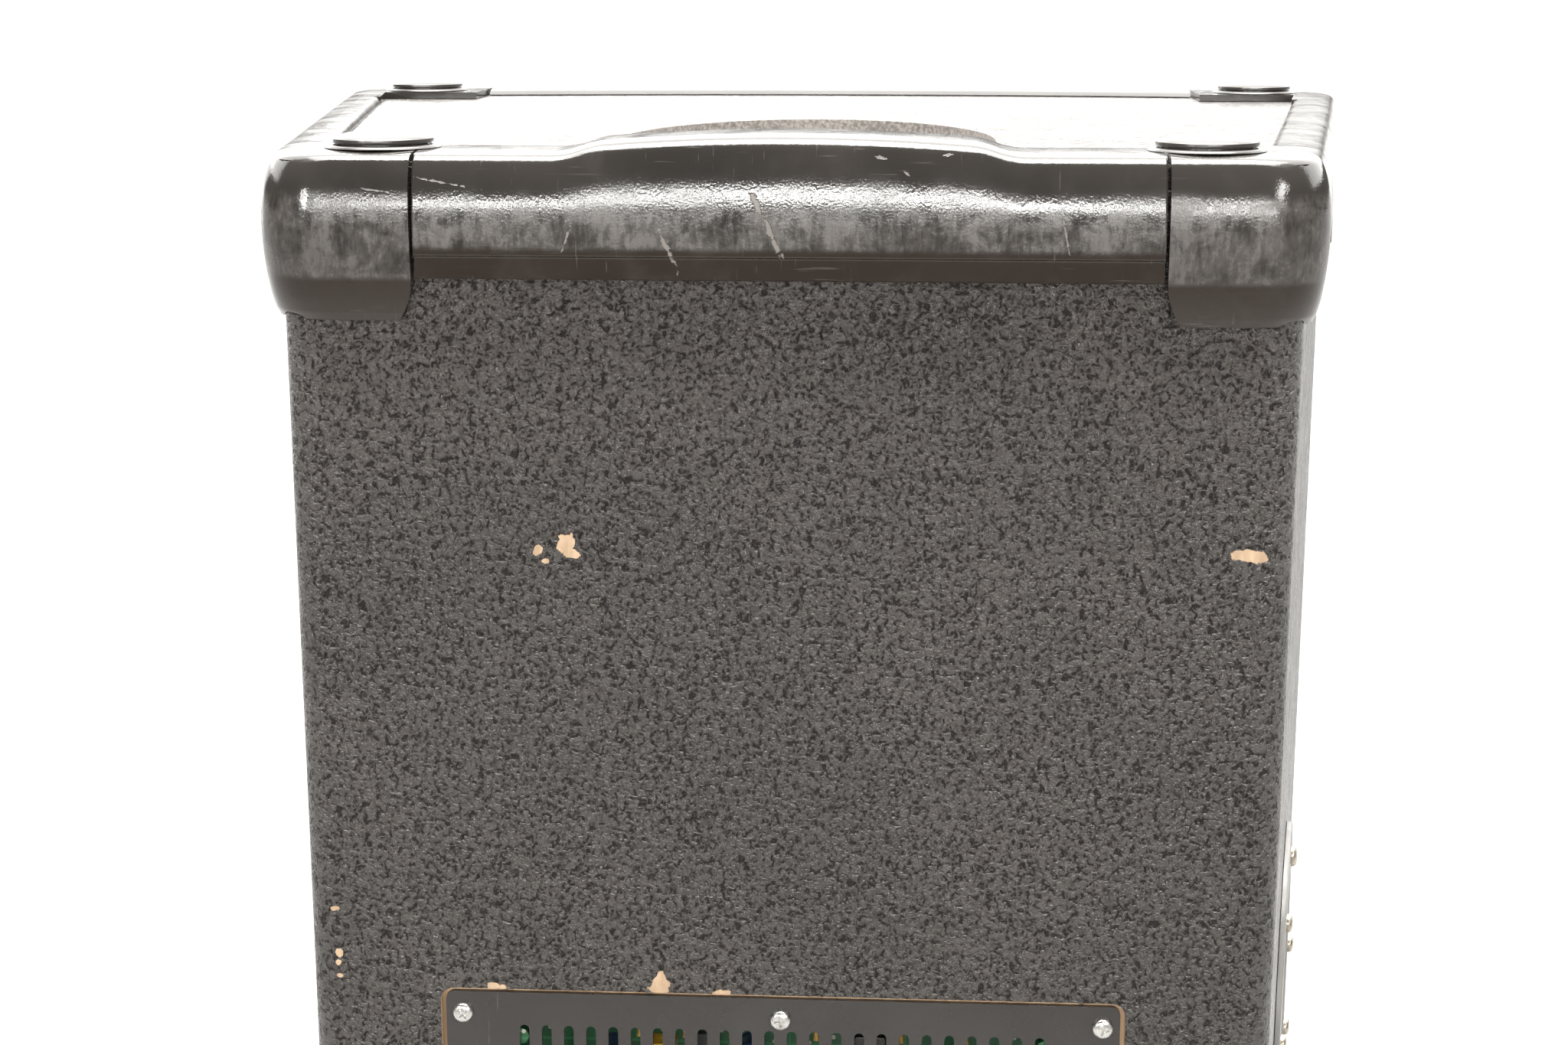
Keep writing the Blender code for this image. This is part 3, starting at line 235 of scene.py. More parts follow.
def smoothed(points: Sequence[Point], steps: int) -> list[Point]:
    """A Catmull-Rom curve through the points.

    Args:
        points: the points the curve passes through.
        steps: segments between two of them.

    Returns:
        The denser line, ends included.
    """
    rail = [Vector(points[0])] + [Vector(p) for p in points] + [Vector(points[-1])]
    line = []
    for a, b, c, d in zip(rail, rail[1:], rail[2:], rail[3:]):
        for k in range(steps):
            t = k / steps
            place = 0.5 * (
                2 * b + (c - a) * t + (2 * a - 5 * b + 4 * c - d) * t * t + (3 * b - a - 3 * c + d) * t ** 3
            )
            line.append((place.x, place.y))
    return line + [(points[-1][0], points[-1][1])]


# ---------------------------------------------------------------- workshop: meshes
def loft(rings: Sequence[Sequence[Sequence[float]]]) -> bmesh.types.BMesh:
    """Extrudes a first outline through the others, into one closed solid.

    Args:
        rings: outlines of equal length, in order.

    Returns:
        The solid, facing outwards.
    """
    mesh = bmesh.new()
    row = [mesh.verts.new(point) for point in rings[0]]
    face = base = mesh.faces.new(row)
    for ring in rings[1:]:
        made = bmesh.ops.extrude_face_region(mesh, geom=[face])
        fresh = {item for item in made["geom"] if isinstance(item, bmesh.types.BMVert)}
        row = [next(e.other_vert(v) for e in v.link_edges if e.other_vert(v) in fresh) for v in row]
        if face is not base:
            bmesh.ops.delete(mesh, geom=[face], context="FACES_ONLY")
        face = next(item for item in made["geom"] if isinstance(item, bmesh.types.BMFace))
        for vertex, point in zip(row, ring):
            vertex.co = point
    bmesh.ops.holes_fill(mesh, edges=[e for e in mesh.edges if e.is_boundary], sides=0)
    bmesh.ops.recalc_face_normals(mesh, faces=mesh.faces)
    return mesh


def stack(outlines: Sequence[Sequence[Point]], heights: Sequence[float]) -> bmesh.types.BMesh:
    """A solid through plan outlines at the given heights."""
    return loft([[(x, y, z) for x, y in outline] for outline, z in zip(outlines, heights)])


def lathe(profile: Sequence[Point], steps: int, closed: bool = False) -> bmesh.types.BMesh:
    """Spins a line of (radius, height) points about Z.

    Args:
        profile: the line; it ends on the axis unless it is closed.
        steps: segments round the axis.
        closed: joins the last point to the first.

    Returns:
        The turned solid, facing outwards.
    """
    mesh = bmesh.new()
    row = [mesh.verts.new((radius, 0.0, height)) for radius, height in profile]
    edges = [mesh.edges.new(pair) for pair in zip(row, row[1:])]
    if closed:
        edges.append(mesh.edges.new((row[-1], row[0])))
    bmesh.ops.spin(
        mesh, geom=row + edges, cent=(0, 0, 0), axis=UP, dvec=(0, 0, 0), angle=2 * math.pi, steps=steps,
        use_merge=True, use_duplicate=False,
    )
    bmesh.ops.remove_doubles(mesh, verts=mesh.verts, dist=1e-6)
    bmesh.ops.recalc_face_normals(mesh, faces=mesh.faces)
    return mesh


def pierced(
    outline: Sequence[Point], holes: Sequence[Sequence[Point]], low: float, high: float,
) -> bmesh.types.BMesh:
    """A flat sheet with holes, between two heights."""
    mesh = bmesh.new()
    edges = []
    for points in [outline, *holes]:
        row = [mesh.verts.new((x, y, low)) for x, y in points]
        edges += [mesh.edges.new((row[i - 1], row[i])) for i in range(len(row))]
    bmesh.ops.triangle_fill(mesh, edges=edges, use_beauty=True, use_dissolve=False)
    made = bmesh.ops.extrude_face_region(mesh, geom=mesh.faces[:])
    fresh = [item for item in made["geom"] if isinstance(item, bmesh.types.BMVert)]
    bmesh.ops.translate(mesh, verts=fresh, vec=(0, 0, high - low))
    bmesh.ops.recalc_face_normals(mesh, faces=mesh.faces)
    return mesh


def placed(mesh: bmesh.types.BMesh, place: Matrix) -> bmesh.types.BMesh:
    """Moves a mesh to its place and hands it back."""
    bmesh.ops.transform(mesh, matrix=place, verts=mesh.verts)
    return mesh


def repeated(mesh: bmesh.types.BMesh, places: Sequence[Matrix]) -> bmesh.types.BMesh:
    """One mesh that holds a copy at each place.

    Args:
        mesh: the shape to copy; it is freed.
        places: a matrix for each copy.

    Returns:
        The joined copies.
    """
    pattern = bpy.data.meshes.new("pattern")
    mesh.to_mesh(pattern)
    mesh.free()
    joined = bmesh.new()
    for place in places:
        first = len(joined.verts)
        joined.from_mesh(pattern)
        joined.verts.ensure_lookup_table()
        bmesh.ops.transform(joined, matrix=place, verts=joined.verts[first:])
    bpy.data.meshes.remove(pattern)
    return joined


def joined_meshes(meshes: Sequence[bmesh.types.BMesh]) -> bmesh.types.BMesh:
    """Several meshes in one; the originals are freed."""
    whole = bmesh.new()
    for mesh in meshes:
        part = bpy.data.meshes.new("part")
        mesh.to_mesh(part)
        mesh.free()
        whole.from_mesh(part)
        bpy.data.meshes.remove(part)
    return whole


def eased(
    mesh: bmesh.types.BMesh, width: float, segments: int = 2, angle: float = 40.0, above: float = -math.inf,
) -> bmesh.types.BMesh:
    """Bevels every edge that is sharper than an angle.

    Args:
        mesh: the mesh to bevel.
        width: size of the bevel in metres.
        segments: faces across it.
        angle: smallest turn between two faces, in degrees.
        above: edges lower than this height stay as they are.

    Returns:
        The same mesh.
    """
    sharp = [
        e for e in mesh.edges
        if len(
            e.link_faces,
        ) == 2 and e.calc_face_angle(0) > math.radians(angle) and min(v.co.z for v in e.verts) > above
    ]
    bmesh.ops.bevel(
        mesh, geom=sharp, offset=width, offset_type="OFFSET", segments=segments, profile=0.5, affect="EDGES",
        material=-1, clamp_overlap=True,
    )
    return mesh


def as_object(name: str, mesh: bmesh.types.BMesh) -> bpy.types.Object:
    """Turns a mesh into an object in the scene and frees the mesh."""
    data = bpy.data.meshes.new(name)
    mesh.to_mesh(data)
    mesh.free()
    made = bpy.data.objects.new(name, data)
    bpy.context.scene.collection.objects.link(made)
    return made


def carved(mesh: bmesh.types.BMesh, tools: Sequence[bmesh.types.BMesh]) -> bmesh.types.BMesh:
    """Cuts solids out of a mesh with exact Booleans.

    Args:
        mesh: the solid to cut.
        tools: closed solids to take away.

    Returns:
        The cut mesh.
    """
    target = as_object("carving", mesh)
    helpers = []
    for i, tool in enumerate(tools):
        helper = as_object(f"tool_{i}", tool)
        step = target.modifiers.new(f"cut_{i}", "BOOLEAN")
        step.operation, step.solver, step.object = "DIFFERENCE", "EXACT", helper
        helpers.append(helper)
    graph = bpy.context.evaluated_depsgraph_get()
    result = bmesh.new()
    result.from_mesh(target.evaluated_get(graph).data)
    for item in [target, *helpers]:
        data = item.data
        bpy.data.objects.remove(item, do_unlink=True)
        bpy.data.meshes.remove(data)
    bmesh.ops.remove_doubles(result, verts=result.verts, dist=1e-6)
    return result


def settle(
    name: str, mesh: bmesh.types.BMesh, finishes: Sequence[bpy.types.Material],
    body: str = "cabinet", replaces: Sequence[str] = (), crease: float = 32.0, even: bool = True,
) -> bpy.types.Object:
    """Makes a finished piece of the cabinet.

    Args:
        name: the piece's name.
        mesh: its mesh, already in place.
        finishes: its materials, by material index.
        body: the CAD body it rides on.
        replaces: CAD nodes it stands for.
        crease: edges sharper than this stay sharp, in degrees.
        even: weights the normals by face area, so that flat faces stay flat.

    Returns:
        The piece.
    """
    piece = as_object(name, mesh)
    piece.data.shade_smooth()
    piece.data.set_sharp_from_angle(angle=math.radians(crease))
    for finish in finishes:
        piece.data.materials.append(finish)
    if even:
        weights = piece.modifiers.new("even_normals", "WEIGHTED_NORMAL")
        weights.keep_sharp = True
    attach(piece, body)
    if replaces:
        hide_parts(*replaces)
    LOG.info("%s: %d faces", name, len(piece.data.polygons))
    return piece


# ---------------------------------------------------------------- finishes
class Recipe:
    """A material's node tree while it is being put together."""

    def __init__(self, name: str, color: Sequence[float], roughness: float, metallic: float = 0.0) -> None:
        """Starts a Principled material.

        Args:
            name: the material's name.
            color: base colour, linear.
            roughness: roughness where nothing is linked.
            metallic: metalness of the whole surface.
        """
        self.material = bpy.data.materials.new(name)
        self.material.use_nodes = True
        self.tree = self.material.node_tree
        self.shader = self.tree.nodes["Principled BSDF"]
        self.shader.inputs["Base Color"].default_value = (*color, 1.0)
        self.shader.inputs["Roughness"].default_value = roughness
        self.shader.inputs["Metallic"].default_value = metallic
        self.place = self.tree.nodes.new("ShaderNodeTexCoord").outputs["Object"]

    def feed(self, socket: Socket, value: Socket | float | Sequence[float]) -> None:
        """Links a socket to another, or sets its value."""
        if isinstance(value, bpy.types.NodeSocket):
            self.tree.links.new(value, socket)
        else:
            socket.default_value = value

    def stretched(self, scale: Sequence[float], turn: Sequence[float] = (0, 0, 0)) -> Socket:
        """Object coordinates with their own scale and turn."""
        node = self.tree.nodes.new("ShaderNodeMapping")
        self.feed(node.inputs["Vector"], self.place)
        node.inputs["Scale"].default_value = scale
        node.inputs["Rotation"].default_value = turn
        return node.outputs["Vector"]

    def noise(
        self, scale: float, detail: float = 3.0, distortion: float = 0.0, where: Socket | None = None,
        roughness: float = 0.5,
    ) -> Socket:
        """A noise texture's factor."""
        node = self.tree.nodes.new("ShaderNodeTexNoise")
        self.feed(node.inputs["Vector"], where or self.place)
        node.inputs["Scale"].default_value = scale
        node.inputs["Detail"].default_value = detail
        node.inputs["Roughness"].default_value = roughness
        node.inputs["Distortion"].default_value = distortion
        return node.outputs["Fac"]

    def cells(self, scale: float, where: Socket | None = None, feature: str = "F1") -> Socket:
        """A Voronoi texture's distance."""
        node = self.tree.nodes.new("ShaderNodeTexVoronoi")
        node.feature = feature
        self.feed(node.inputs["Vector"], where or self.place)
        node.inputs["Scale"].default_value = scale
        return node.outputs["Distance"]

    def spread(
        self, value: Socket, low: float, high: float, to_low: float = 0.0, to_high: float = 1.0,
    ) -> Socket:
        """Remaps a value smoothly from one range to another.

        Args:
            value: the socket to remap.
            low: start of the source range.
            high: end of the source range.
            to_low: result at the start.
            to_high: result at the end.

        Returns:
            The remapped socket.
        """
        node = self.tree.nodes.new("ShaderNodeMapRange")
        node.interpolation_type = "SMOOTHSTEP"
        self.feed(node.inputs["Value"], value)
        for key, number in (("From Min", low), ("From Max", high), ("To Min", to_low), ("To Max", to_high)):
            node.inputs[key].default_value = number
        return node.outputs["Result"]

    def sum(self, kind: str, first: Socket | float, second: Socket | float) -> Socket:
        """A Math node with two values."""
        node = self.tree.nodes.new("ShaderNodeMath")
        node.operation = kind
        self.feed(node.inputs[0], first)
        self.feed(node.inputs[1], second)
        return node.outputs["Value"]

    def blend(
        self, share: Socket, first: Socket | Sequence[float], second: Socket | Sequence[float],
    ) -> Socket:
        """Mixes two colours by a share."""
        node = self.tree.nodes.new("ShaderNodeMix")
        node.data_type = "RGBA"
        self.feed(node.inputs["Factor"], share)
        self.feed(node.inputs[6], first if isinstance(first, bpy.types.NodeSocket) else (*first, 1.0))
        self.feed(node.inputs[7], second if isinstance(second, bpy.types.NodeSocket) else (*second, 1.0))
        return node.outputs[2]

    def patch(
        self, centre: Sequence[float], size: Sequence[float], ragged: Socket, edge: float = 0.12,
    ) -> Socket:
        """A ragged spot at a place.

        Args:
            centre: its middle, in metres.
            size: its half sizes.
            ragged: noise that frays its edge.
            edge: softness of the edge.

        Returns:
            1 inside the spot and 0 outside.
        """
        offset = self.tree.nodes.new("ShaderNodeVectorMath")
        offset.operation = "SUBTRACT"
        self.feed(offset.inputs[0], self.place)
        offset.inputs[1].default_value = centre
        ratio = self.tree.nodes.new("ShaderNodeVectorMath")
        ratio.operation = "DIVIDE"
        self.feed(ratio.inputs[0], offset.outputs["Vector"])
        ratio.inputs[1].default_value = size
        length = self.tree.nodes.new("ShaderNodeVectorMath")
        length.operation = "LENGTH"
        self.feed(length.inputs[0], ratio.outputs["Vector"])
        frayed = self.sum(
            "ADD", length.outputs["Value"], self.sum("MULTIPLY", self.sum("SUBTRACT", ragged, 0.5), 1.7),
        )
        return self.spread(frayed, 0.9, 0.9 + edge, 1.0, 0.0)

    def relief(self, height: Socket, distance: float, strength: float = 1.0) -> None:
        """Bumps the surface by a height."""
        node = self.tree.nodes.new("ShaderNodeBump")
        node.inputs["Strength"].default_value = strength
        node.inputs["Distance"].default_value = distance
        self.feed(node.inputs["Height"], height)
        self.feed(self.shader.inputs["Normal"], node.outputs["Normal"])

    def color(self, value: Socket) -> None:
        """Drives the base colour."""
        self.feed(self.shader.inputs["Base Color"], value)

    def gloss(self, value: Socket) -> None:
        """Drives the roughness."""
        self.feed(self.shader.inputs["Roughness"], value)


@dataclass(frozen=True)
class Plain:
    """A grained surface: mottled colour, uneven gloss and a fine relief."""

    name: str
    light: tuple[float, float, float]
    dark: tuple[float, float, float]
    smooth: float
    rough: float
    grain: float = 900.0
    depth: float = 0.00008
    metallic: float = 0.0
    blotch: float = 22.0

    def build(self) -> bpy.types.Material:
        """Makes the material."""
        recipe = Recipe(self.name, self.light, self.rough, self.metallic)
        blotches = recipe.noise(self.blotch, 5.0, 0.4)
        recipe.color(recipe.blend(recipe.spread(blotches, 0.35, 0.65), self.dark, self.light))
        recipe.gloss(
            recipe.spread(recipe.noise(self.blotch * 2.7, 6.0, 0.6), 0.3, 0.7, self.smooth, self.rough),
        )
        recipe.relief(recipe.noise(self.grain, 3.0), self.depth)
        return recipe.material


@dataclass(frozen=True)
class Chip:
    """A place where paint has come off the wood."""

    centre: tuple[float, float, float]
    size: tuple[float, float, float]


@dataclass(frozen=True)
class SpatterPaint:
    """Sprayed texture paint over plywood, with painted shade in the pits of its relief and chips down to the
    bare wood.
    """

    name: str
    chips: tuple[Chip, ...]
    light: tuple[float, float, float] = (0.054, 0.047, 0.042)
    dark: tuple[float, float, float] = (0.042, 0.037, 0.033)
    painted_pit_shade: tuple[float, float, float] = (0.014, 0.012, 0.011)
    wood: tuple[float, float, float] = (0.50, 0.36, 0.24)

    def build(self) -> bpy.types.Material:
        """Makes the material."""
        recipe = Recipe(self.name, self.light, 0.45)
        worms = recipe.noise(430.0, 1.5, 0.9)
        height = recipe.sum("ADD", worms, recipe.sum("MULTIPLY", recipe.noise(950.0, 2.0, 0.4), 0.45))
        body = recipe.blend(recipe.spread(recipe.noise(9.0, 4.0, 0.5), 0.3, 0.7), self.dark, self.light)
        # painted shade: the low pits of the relief take the darker pit colour, standing in for the shade that
        # falls in them
        body = recipe.blend(recipe.spread(height, 0.56, 0.72), self.painted_pit_shade, body)
        recipe.feed(recipe.shader.inputs["Specular IOR Level"], recipe.spread(height, 0.55, 0.80, 0.15, 0.62))
        ragged = recipe.noise(310.0, 4.0, 0.3)
        bare: Socket | float = 0.0
        for chip in self.chips:
            bare = recipe.sum("MAXIMUM", recipe.patch(chip.centre, chip.size, ragged), bare)
        grain = recipe.noise(260.0, 4.0, 0.4, recipe.stretched((1.0, 1.0, 0.16)))
        tan = recipe.blend(recipe.spread(grain, 0.3, 0.7), self.wood, (0.36, 0.25, 0.16))
        recipe.color(recipe.blend(bare, body, tan))
        gloss = recipe.spread(recipe.noise(70.0, 5.0, 0.4), 0.3, 0.7, 0.20, 0.34)
        recipe.gloss(recipe.sum("MAXIMUM", gloss, recipe.sum("MULTIPLY", bare, 0.8)))
        keep = recipe.sum("SUBTRACT", 1.0, bare)
        recipe.relief(recipe.sum("MULTIPLY", height, keep), 0.0026)
        return recipe.material


@dataclass(frozen=True)
class Gouge:
    """A scratch in the moulding: a thin ragged line."""

    centre: tuple[float, float, float]
    half_length: float
    half_width: float
    tilt: float


@dataclass(frozen=True)
class ScuffedMoulding:
    """Satin moulded plastic with scuffs, hairlines, handling marks and a set-in skirt darkened as painted
    shade.

    Attributes:
        name: the material's name.
        scuff_low: height where the rubbed band starts.
        scuff_high: height where it ends.
        gouges: the deep scratches.
        wear: how strongly the band is rubbed.
        painted_shade_below: the set-in skirt, darkened as painted shade, is below the band, not above it.
    """

    name: str
    scuff_low: float
    scuff_high: float
    gouges: tuple[Gouge, ...] = ()
    wear: float = 1.0
    painted_shade_below: bool = True
    rubbed: tuple[float, float, float] = (0.125, 0.114, 0.104)
    scratched: tuple[float, float, float] = (0.16, 0.145, 0.13)
    dusty: tuple[float, float, float] = (0.12, 0.11, 0.10)
    light: tuple[float, float, float] = (0.030, 0.027, 0.024)
    dark: tuple[float, float, float] = (0.020, 0.018, 0.016)
    set_in_painted_shade: tuple[float, float, float] = (0.020, 0.014, 0.010)

    def build(self) -> bpy.types.Material:
        """Makes the material."""
        recipe = Recipe(self.name, self.light, 0.3)
        height_axis = recipe.tree.nodes.new("ShaderNodeSeparateXYZ")
        recipe.feed(height_axis.inputs[0], recipe.place)
        height = height_axis.outputs["Z"]
        band = recipe.sum(
            "MULTIPLY", recipe.spread(height, self.scuff_low - 0.003, self.scuff_low + 0.001),
            recipe.spread(height, self.scuff_high - 0.002, self.scuff_high + 0.003, 1.0, 0.0),
        )
        cloud = recipe.spread(
            recipe.noise(95.0, 9.0, 0.3, recipe.stretched((1.0, 1.0, 0.9)), 0.68), 0.36, 0.68,
        )
        streak = recipe.spread(
            recipe.noise(520.0, 5.0, 0.2, recipe.stretched((1.0, 1.0, 0.25)), 0.6), 0.38, 0.66,
        )
        wear = recipe.sum("ADD", recipe.sum("MULTIPLY", cloud, 0.62), recipe.sum("MULTIPLY", streak, 0.24))
        rubbed = recipe.sum(
            "MULTIPLY", band, recipe.sum("MULTIPLY", recipe.sum("SUBTRACT", wear, 0.04), self.wear),
        )
        hair = recipe.noise(120.0, 3.0, 0.0, recipe.stretched((0.30, 1.0, 7.0), (0.0, 0.35, 0.2)))
        hair2 = recipe.noise(150.0, 3.0, 0.0, recipe.stretched((8.0, 1.0, 0.4), (0.0, -0.5, 0.4)))
        lines = recipe.sum("MAXIMUM", recipe.spread(hair, 0.66, 0.72), recipe.spread(hair2, 0.68, 0.73))
        lines = recipe.sum("MULTIPLY", lines, recipe.spread(recipe.noise(14.0, 3.0), 0.45, 0.6))
        ragged = recipe.noise(420.0, 4.0, 0.4)
        cut: Socket | float = 0.0
        for gouge in self.gouges:
            cut = recipe.sum("MAXIMUM", self._gouge(recipe, gouge, ragged), cut)
        dust = recipe.spread(recipe.noise(60.0, 6.0, 0.5), 0.5, 0.8, 0.0, 0.22)
        tone = recipe.blend(recipe.spread(recipe.noise(16.0, 4.0, 0.3), 0.3, 0.7), self.dark, self.light)
        tone = recipe.blend(recipe.sum("MULTIPLY", rubbed, 0.85), tone, self.rubbed)
        # painted shade: the set-in skirt beside the rubbed band is darkened to a dark brown, standing in for
        # the shade that falls on it
        if self.painted_shade_below:
            skirt = (self.scuff_low - 0.0020, self.scuff_low + 0.0006)
        else:
            skirt = (self.scuff_high + 0.0020, self.scuff_high - 0.0006)
        tone = recipe.blend(recipe.spread(height, *skirt, 1.0, 0.0), tone, self.set_in_painted_shade)
        tone = recipe.blend(
            recipe.sum("MAXIMUM", recipe.sum("MULTIPLY", lines, 0.35), cut), tone, self.scratched,
        )
        recipe.color(recipe.blend(recipe.sum("MULTIPLY", dust, 0.4), tone, self.dusty))
        gloss = recipe.spread(recipe.noise(48.0, 6.0, 0.8), 0.3, 0.7, 0.09, 0.16)
        gloss = recipe.sum("ADD", gloss, recipe.sum("MULTIPLY", rubbed, 0.30))
        recipe.gloss(recipe.sum("ADD", gloss, recipe.sum("MULTIPLY", cut, 0.3)))
        pits = recipe.sum(
            "ADD", recipe.noise(1100.0, 2.0), recipe.sum("MULTIPLY", recipe.noise(90.0, 4.0), 2.0),
        )
        recipe.relief(recipe.sum("SUBTRACT", pits, recipe.sum("MULTIPLY", cut, 5.0)), 0.00005)
        return recipe.material

    @staticmethod
    def _gouge(recipe: Recipe, gouge: Gouge, ragged: Socket) -> Socket:
        """The mask of one gouge.

        Args:
            recipe: the material being made.
            gouge: its place and size.
            ragged: noise that frays it.

        Returns:
            1 in the gouge and 0 outside.
        """
        turn = recipe.tree.nodes.new("ShaderNodeMapping")
        turn.vector_type = "TEXTURE"
        recipe.feed(turn.inputs["Vector"], recipe.place)
        turn.inputs["Location"].default_value = gouge.centre
        turn.inputs["Rotation"].default_value = (0.0, gouge.tilt, 0.0)
        turn.inputs["Scale"].default_value = (gouge.half_width, 0.02, gouge.half_length)
        length = recipe.tree.nodes.new("ShaderNodeVectorMath")
        length.operation = "LENGTH"
        recipe.feed(length.inputs[0], turn.outputs["Vector"])
        frayed = recipe.sum("ADD", length.outputs["Value"], recipe.sum("MULTIPLY", ragged, 3.2))
        return recipe.spread(frayed, 2.1, 2.5, 1.0, 0.0)


@dataclass(frozen=True)
class PlyEdge:
    """Bare plywood: a face grain and, across the thickness, its layers."""

    name: str
    face: tuple[float, float, float] = (0.50, 0.35, 0.22)
    glue: tuple[float, float, float] = (0.26, 0.17, 0.10)

    def build(self) -> bpy.types.Material:
        """Makes the material."""
        recipe = Recipe(self.name, self.face, 0.8)
        streaks = recipe.noise(190.0, 6.0, 0.6, recipe.stretched((1.0, 1.0, 0.10)))
        layers = recipe.noise(620.0, 1.0, 0.0, recipe.stretched((0.02, 1.0, 0.02)))
        tone = recipe.blend(recipe.spread(streaks, 0.35, 0.7), self.face, (0.36, 0.24, 0.14))
        tone = recipe.blend(recipe.spread(layers, 0.5, 0.6, 0.0, 0.6), tone, self.glue)
        recipe.color(
            recipe.blend(recipe.spread(recipe.noise(85.0, 5.0, 0.5), 0.60, 0.72), tone, (0.07, 0.06, 0.05)),
        )
        recipe.gloss(recipe.spread(streaks, 0.3, 0.7, 0.70, 0.92))
        recipe.relief(recipe.sum("ADD", streaks, layers), 0.00025)
        return recipe.material


@dataclass(frozen=True)
class Enamel:
    """Satin enamel on sheet steel, with hairline scratches."""

    name: str
    color: tuple[float, float, float] = (0.026, 0.023, 0.021)

    def build(self) -> bpy.types.Material:
        """Makes the material."""
        recipe = Recipe(self.name, self.color, 0.4)
        hair = recipe.noise(90.0, 3.0, 0.0, recipe.stretched((9.0, 1.0, 0.5), (0.0, 0.4, 0.0)))
        lines = recipe.sum(
            "MULTIPLY", recipe.spread(hair, 0.68, 0.73), recipe.spread(recipe.noise(18.0, 3.0), 0.5, 0.62),
        )
        tone = recipe.blend(
            recipe.spread(recipe.noise(26.0, 5.0, 0.4), 0.35, 0.7), self.color, (0.031, 0.028, 0.026),
        )
        recipe.color(recipe.blend(recipe.sum("MULTIPLY", lines, 0.5), tone, (0.20, 0.19, 0.18)))
        recipe.gloss(recipe.spread(recipe.noise(40.0, 6.0, 0.5), 0.3, 0.7, 0.20, 0.34))
        recipe.relief(recipe.sum("ADD", recipe.noise(1300.0, 2.0), recipe.noise(380.0, 2.0)), 0.00007)
        return recipe.material


@dataclass(frozen=True)
class Brushed:
    """Bare metal with fine lines along one direction."""

    name: str
    color: tuple[float, float, float]
    lines: tuple[float, float, float]
    smooth: float = 0.16
    rough: float = 0.38

    def build(self) -> bpy.types.Material:
        """Makes the material."""
        recipe = Recipe(self.name, self.color, self.rough, 1.0)
        brushed = recipe.noise(700.0, 4.0, 0.0, recipe.stretched(self.lines))
        tarnish = recipe.spread(recipe.noise(130.0, 5.0, 0.6), 0.45, 0.75)
        dull = tuple(0.55 * part for part in self.color)
        recipe.color(recipe.blend(recipe.sum("MULTIPLY", tarnish, 0.6), self.color, dull))
        recipe.gloss(recipe.spread(brushed, 0.3, 0.7, self.smooth, self.rough))
        recipe.relief(brushed, 0.00002)
        return recipe.material


@dataclass(frozen=True)
class CircuitLaminate:
    """Green solder mask over copper tracks, with pads."""

    name: str

    def build(self) -> bpy.types.Material:
        """Makes the material."""
        recipe = Recipe(self.name, (0.02, 0.16, 0.05), 0.35)
        bricks = recipe.tree.nodes.new("ShaderNodeTexBrick")
        turned = recipe.stretched((1.0, 1.0, 1.0), (math.radians(90), 0.0, 0.0))
        recipe.feed(bricks.inputs["Vector"], turned)
        for key, number in (
            ("Scale", 60.0), ("Mortar Size", 0.035), ("Brick Width", 0.9), ("Row Height", 0.35),
        ):
            bricks.inputs[key].default_value = number
        pads = recipe.spread(recipe.cells(190.0), 0.16, 0.20, 1.0, 0.0)
        tracks = recipe.blend(bricks.outputs["Fac"], (0.008, 0.075, 0.025), (0.02, 0.13, 0.045))
        recipe.color(recipe.blend(pads, tracks, (0.36, 0.35, 0.29)))
        recipe.gloss(recipe.spread(recipe.noise(50.0, 4.0), 0.3, 0.7, 0.26, 0.42))
        recipe.relief(recipe.sum("ADD", bricks.outputs["Fac"], pads), 0.00006)
        return recipe.material


@dataclass(frozen=True)
class Cloth:
    """Woven or pulp fibre with a fine crossed relief."""

    name: str
    light: tuple[float, float, float]
    dark: tuple[float, float, float]
    pitch: float = 900.0
    depth: float = 0.00018

    def build(self) -> bpy.types.Material:
        """Makes the material."""
        recipe = Recipe(self.name, self.light, 0.85)
        warp = recipe.noise(self.pitch, 2.0, 0.0, recipe.stretched((1.0, 1.0, 0.15)))
        weft = recipe.noise(self.pitch, 2.0, 0.0, recipe.stretched((0.15, 1.0, 1.0)))
        weave = recipe.sum("ADD", warp, weft)
        recipe.color(recipe.blend(recipe.spread(weave, 0.8, 1.2), self.dark, self.light))
        recipe.gloss(recipe.spread(recipe.noise(40.0, 4.0), 0.3, 0.7, 0.72, 0.95))
        recipe.relief(weave, self.depth)
        return recipe.material


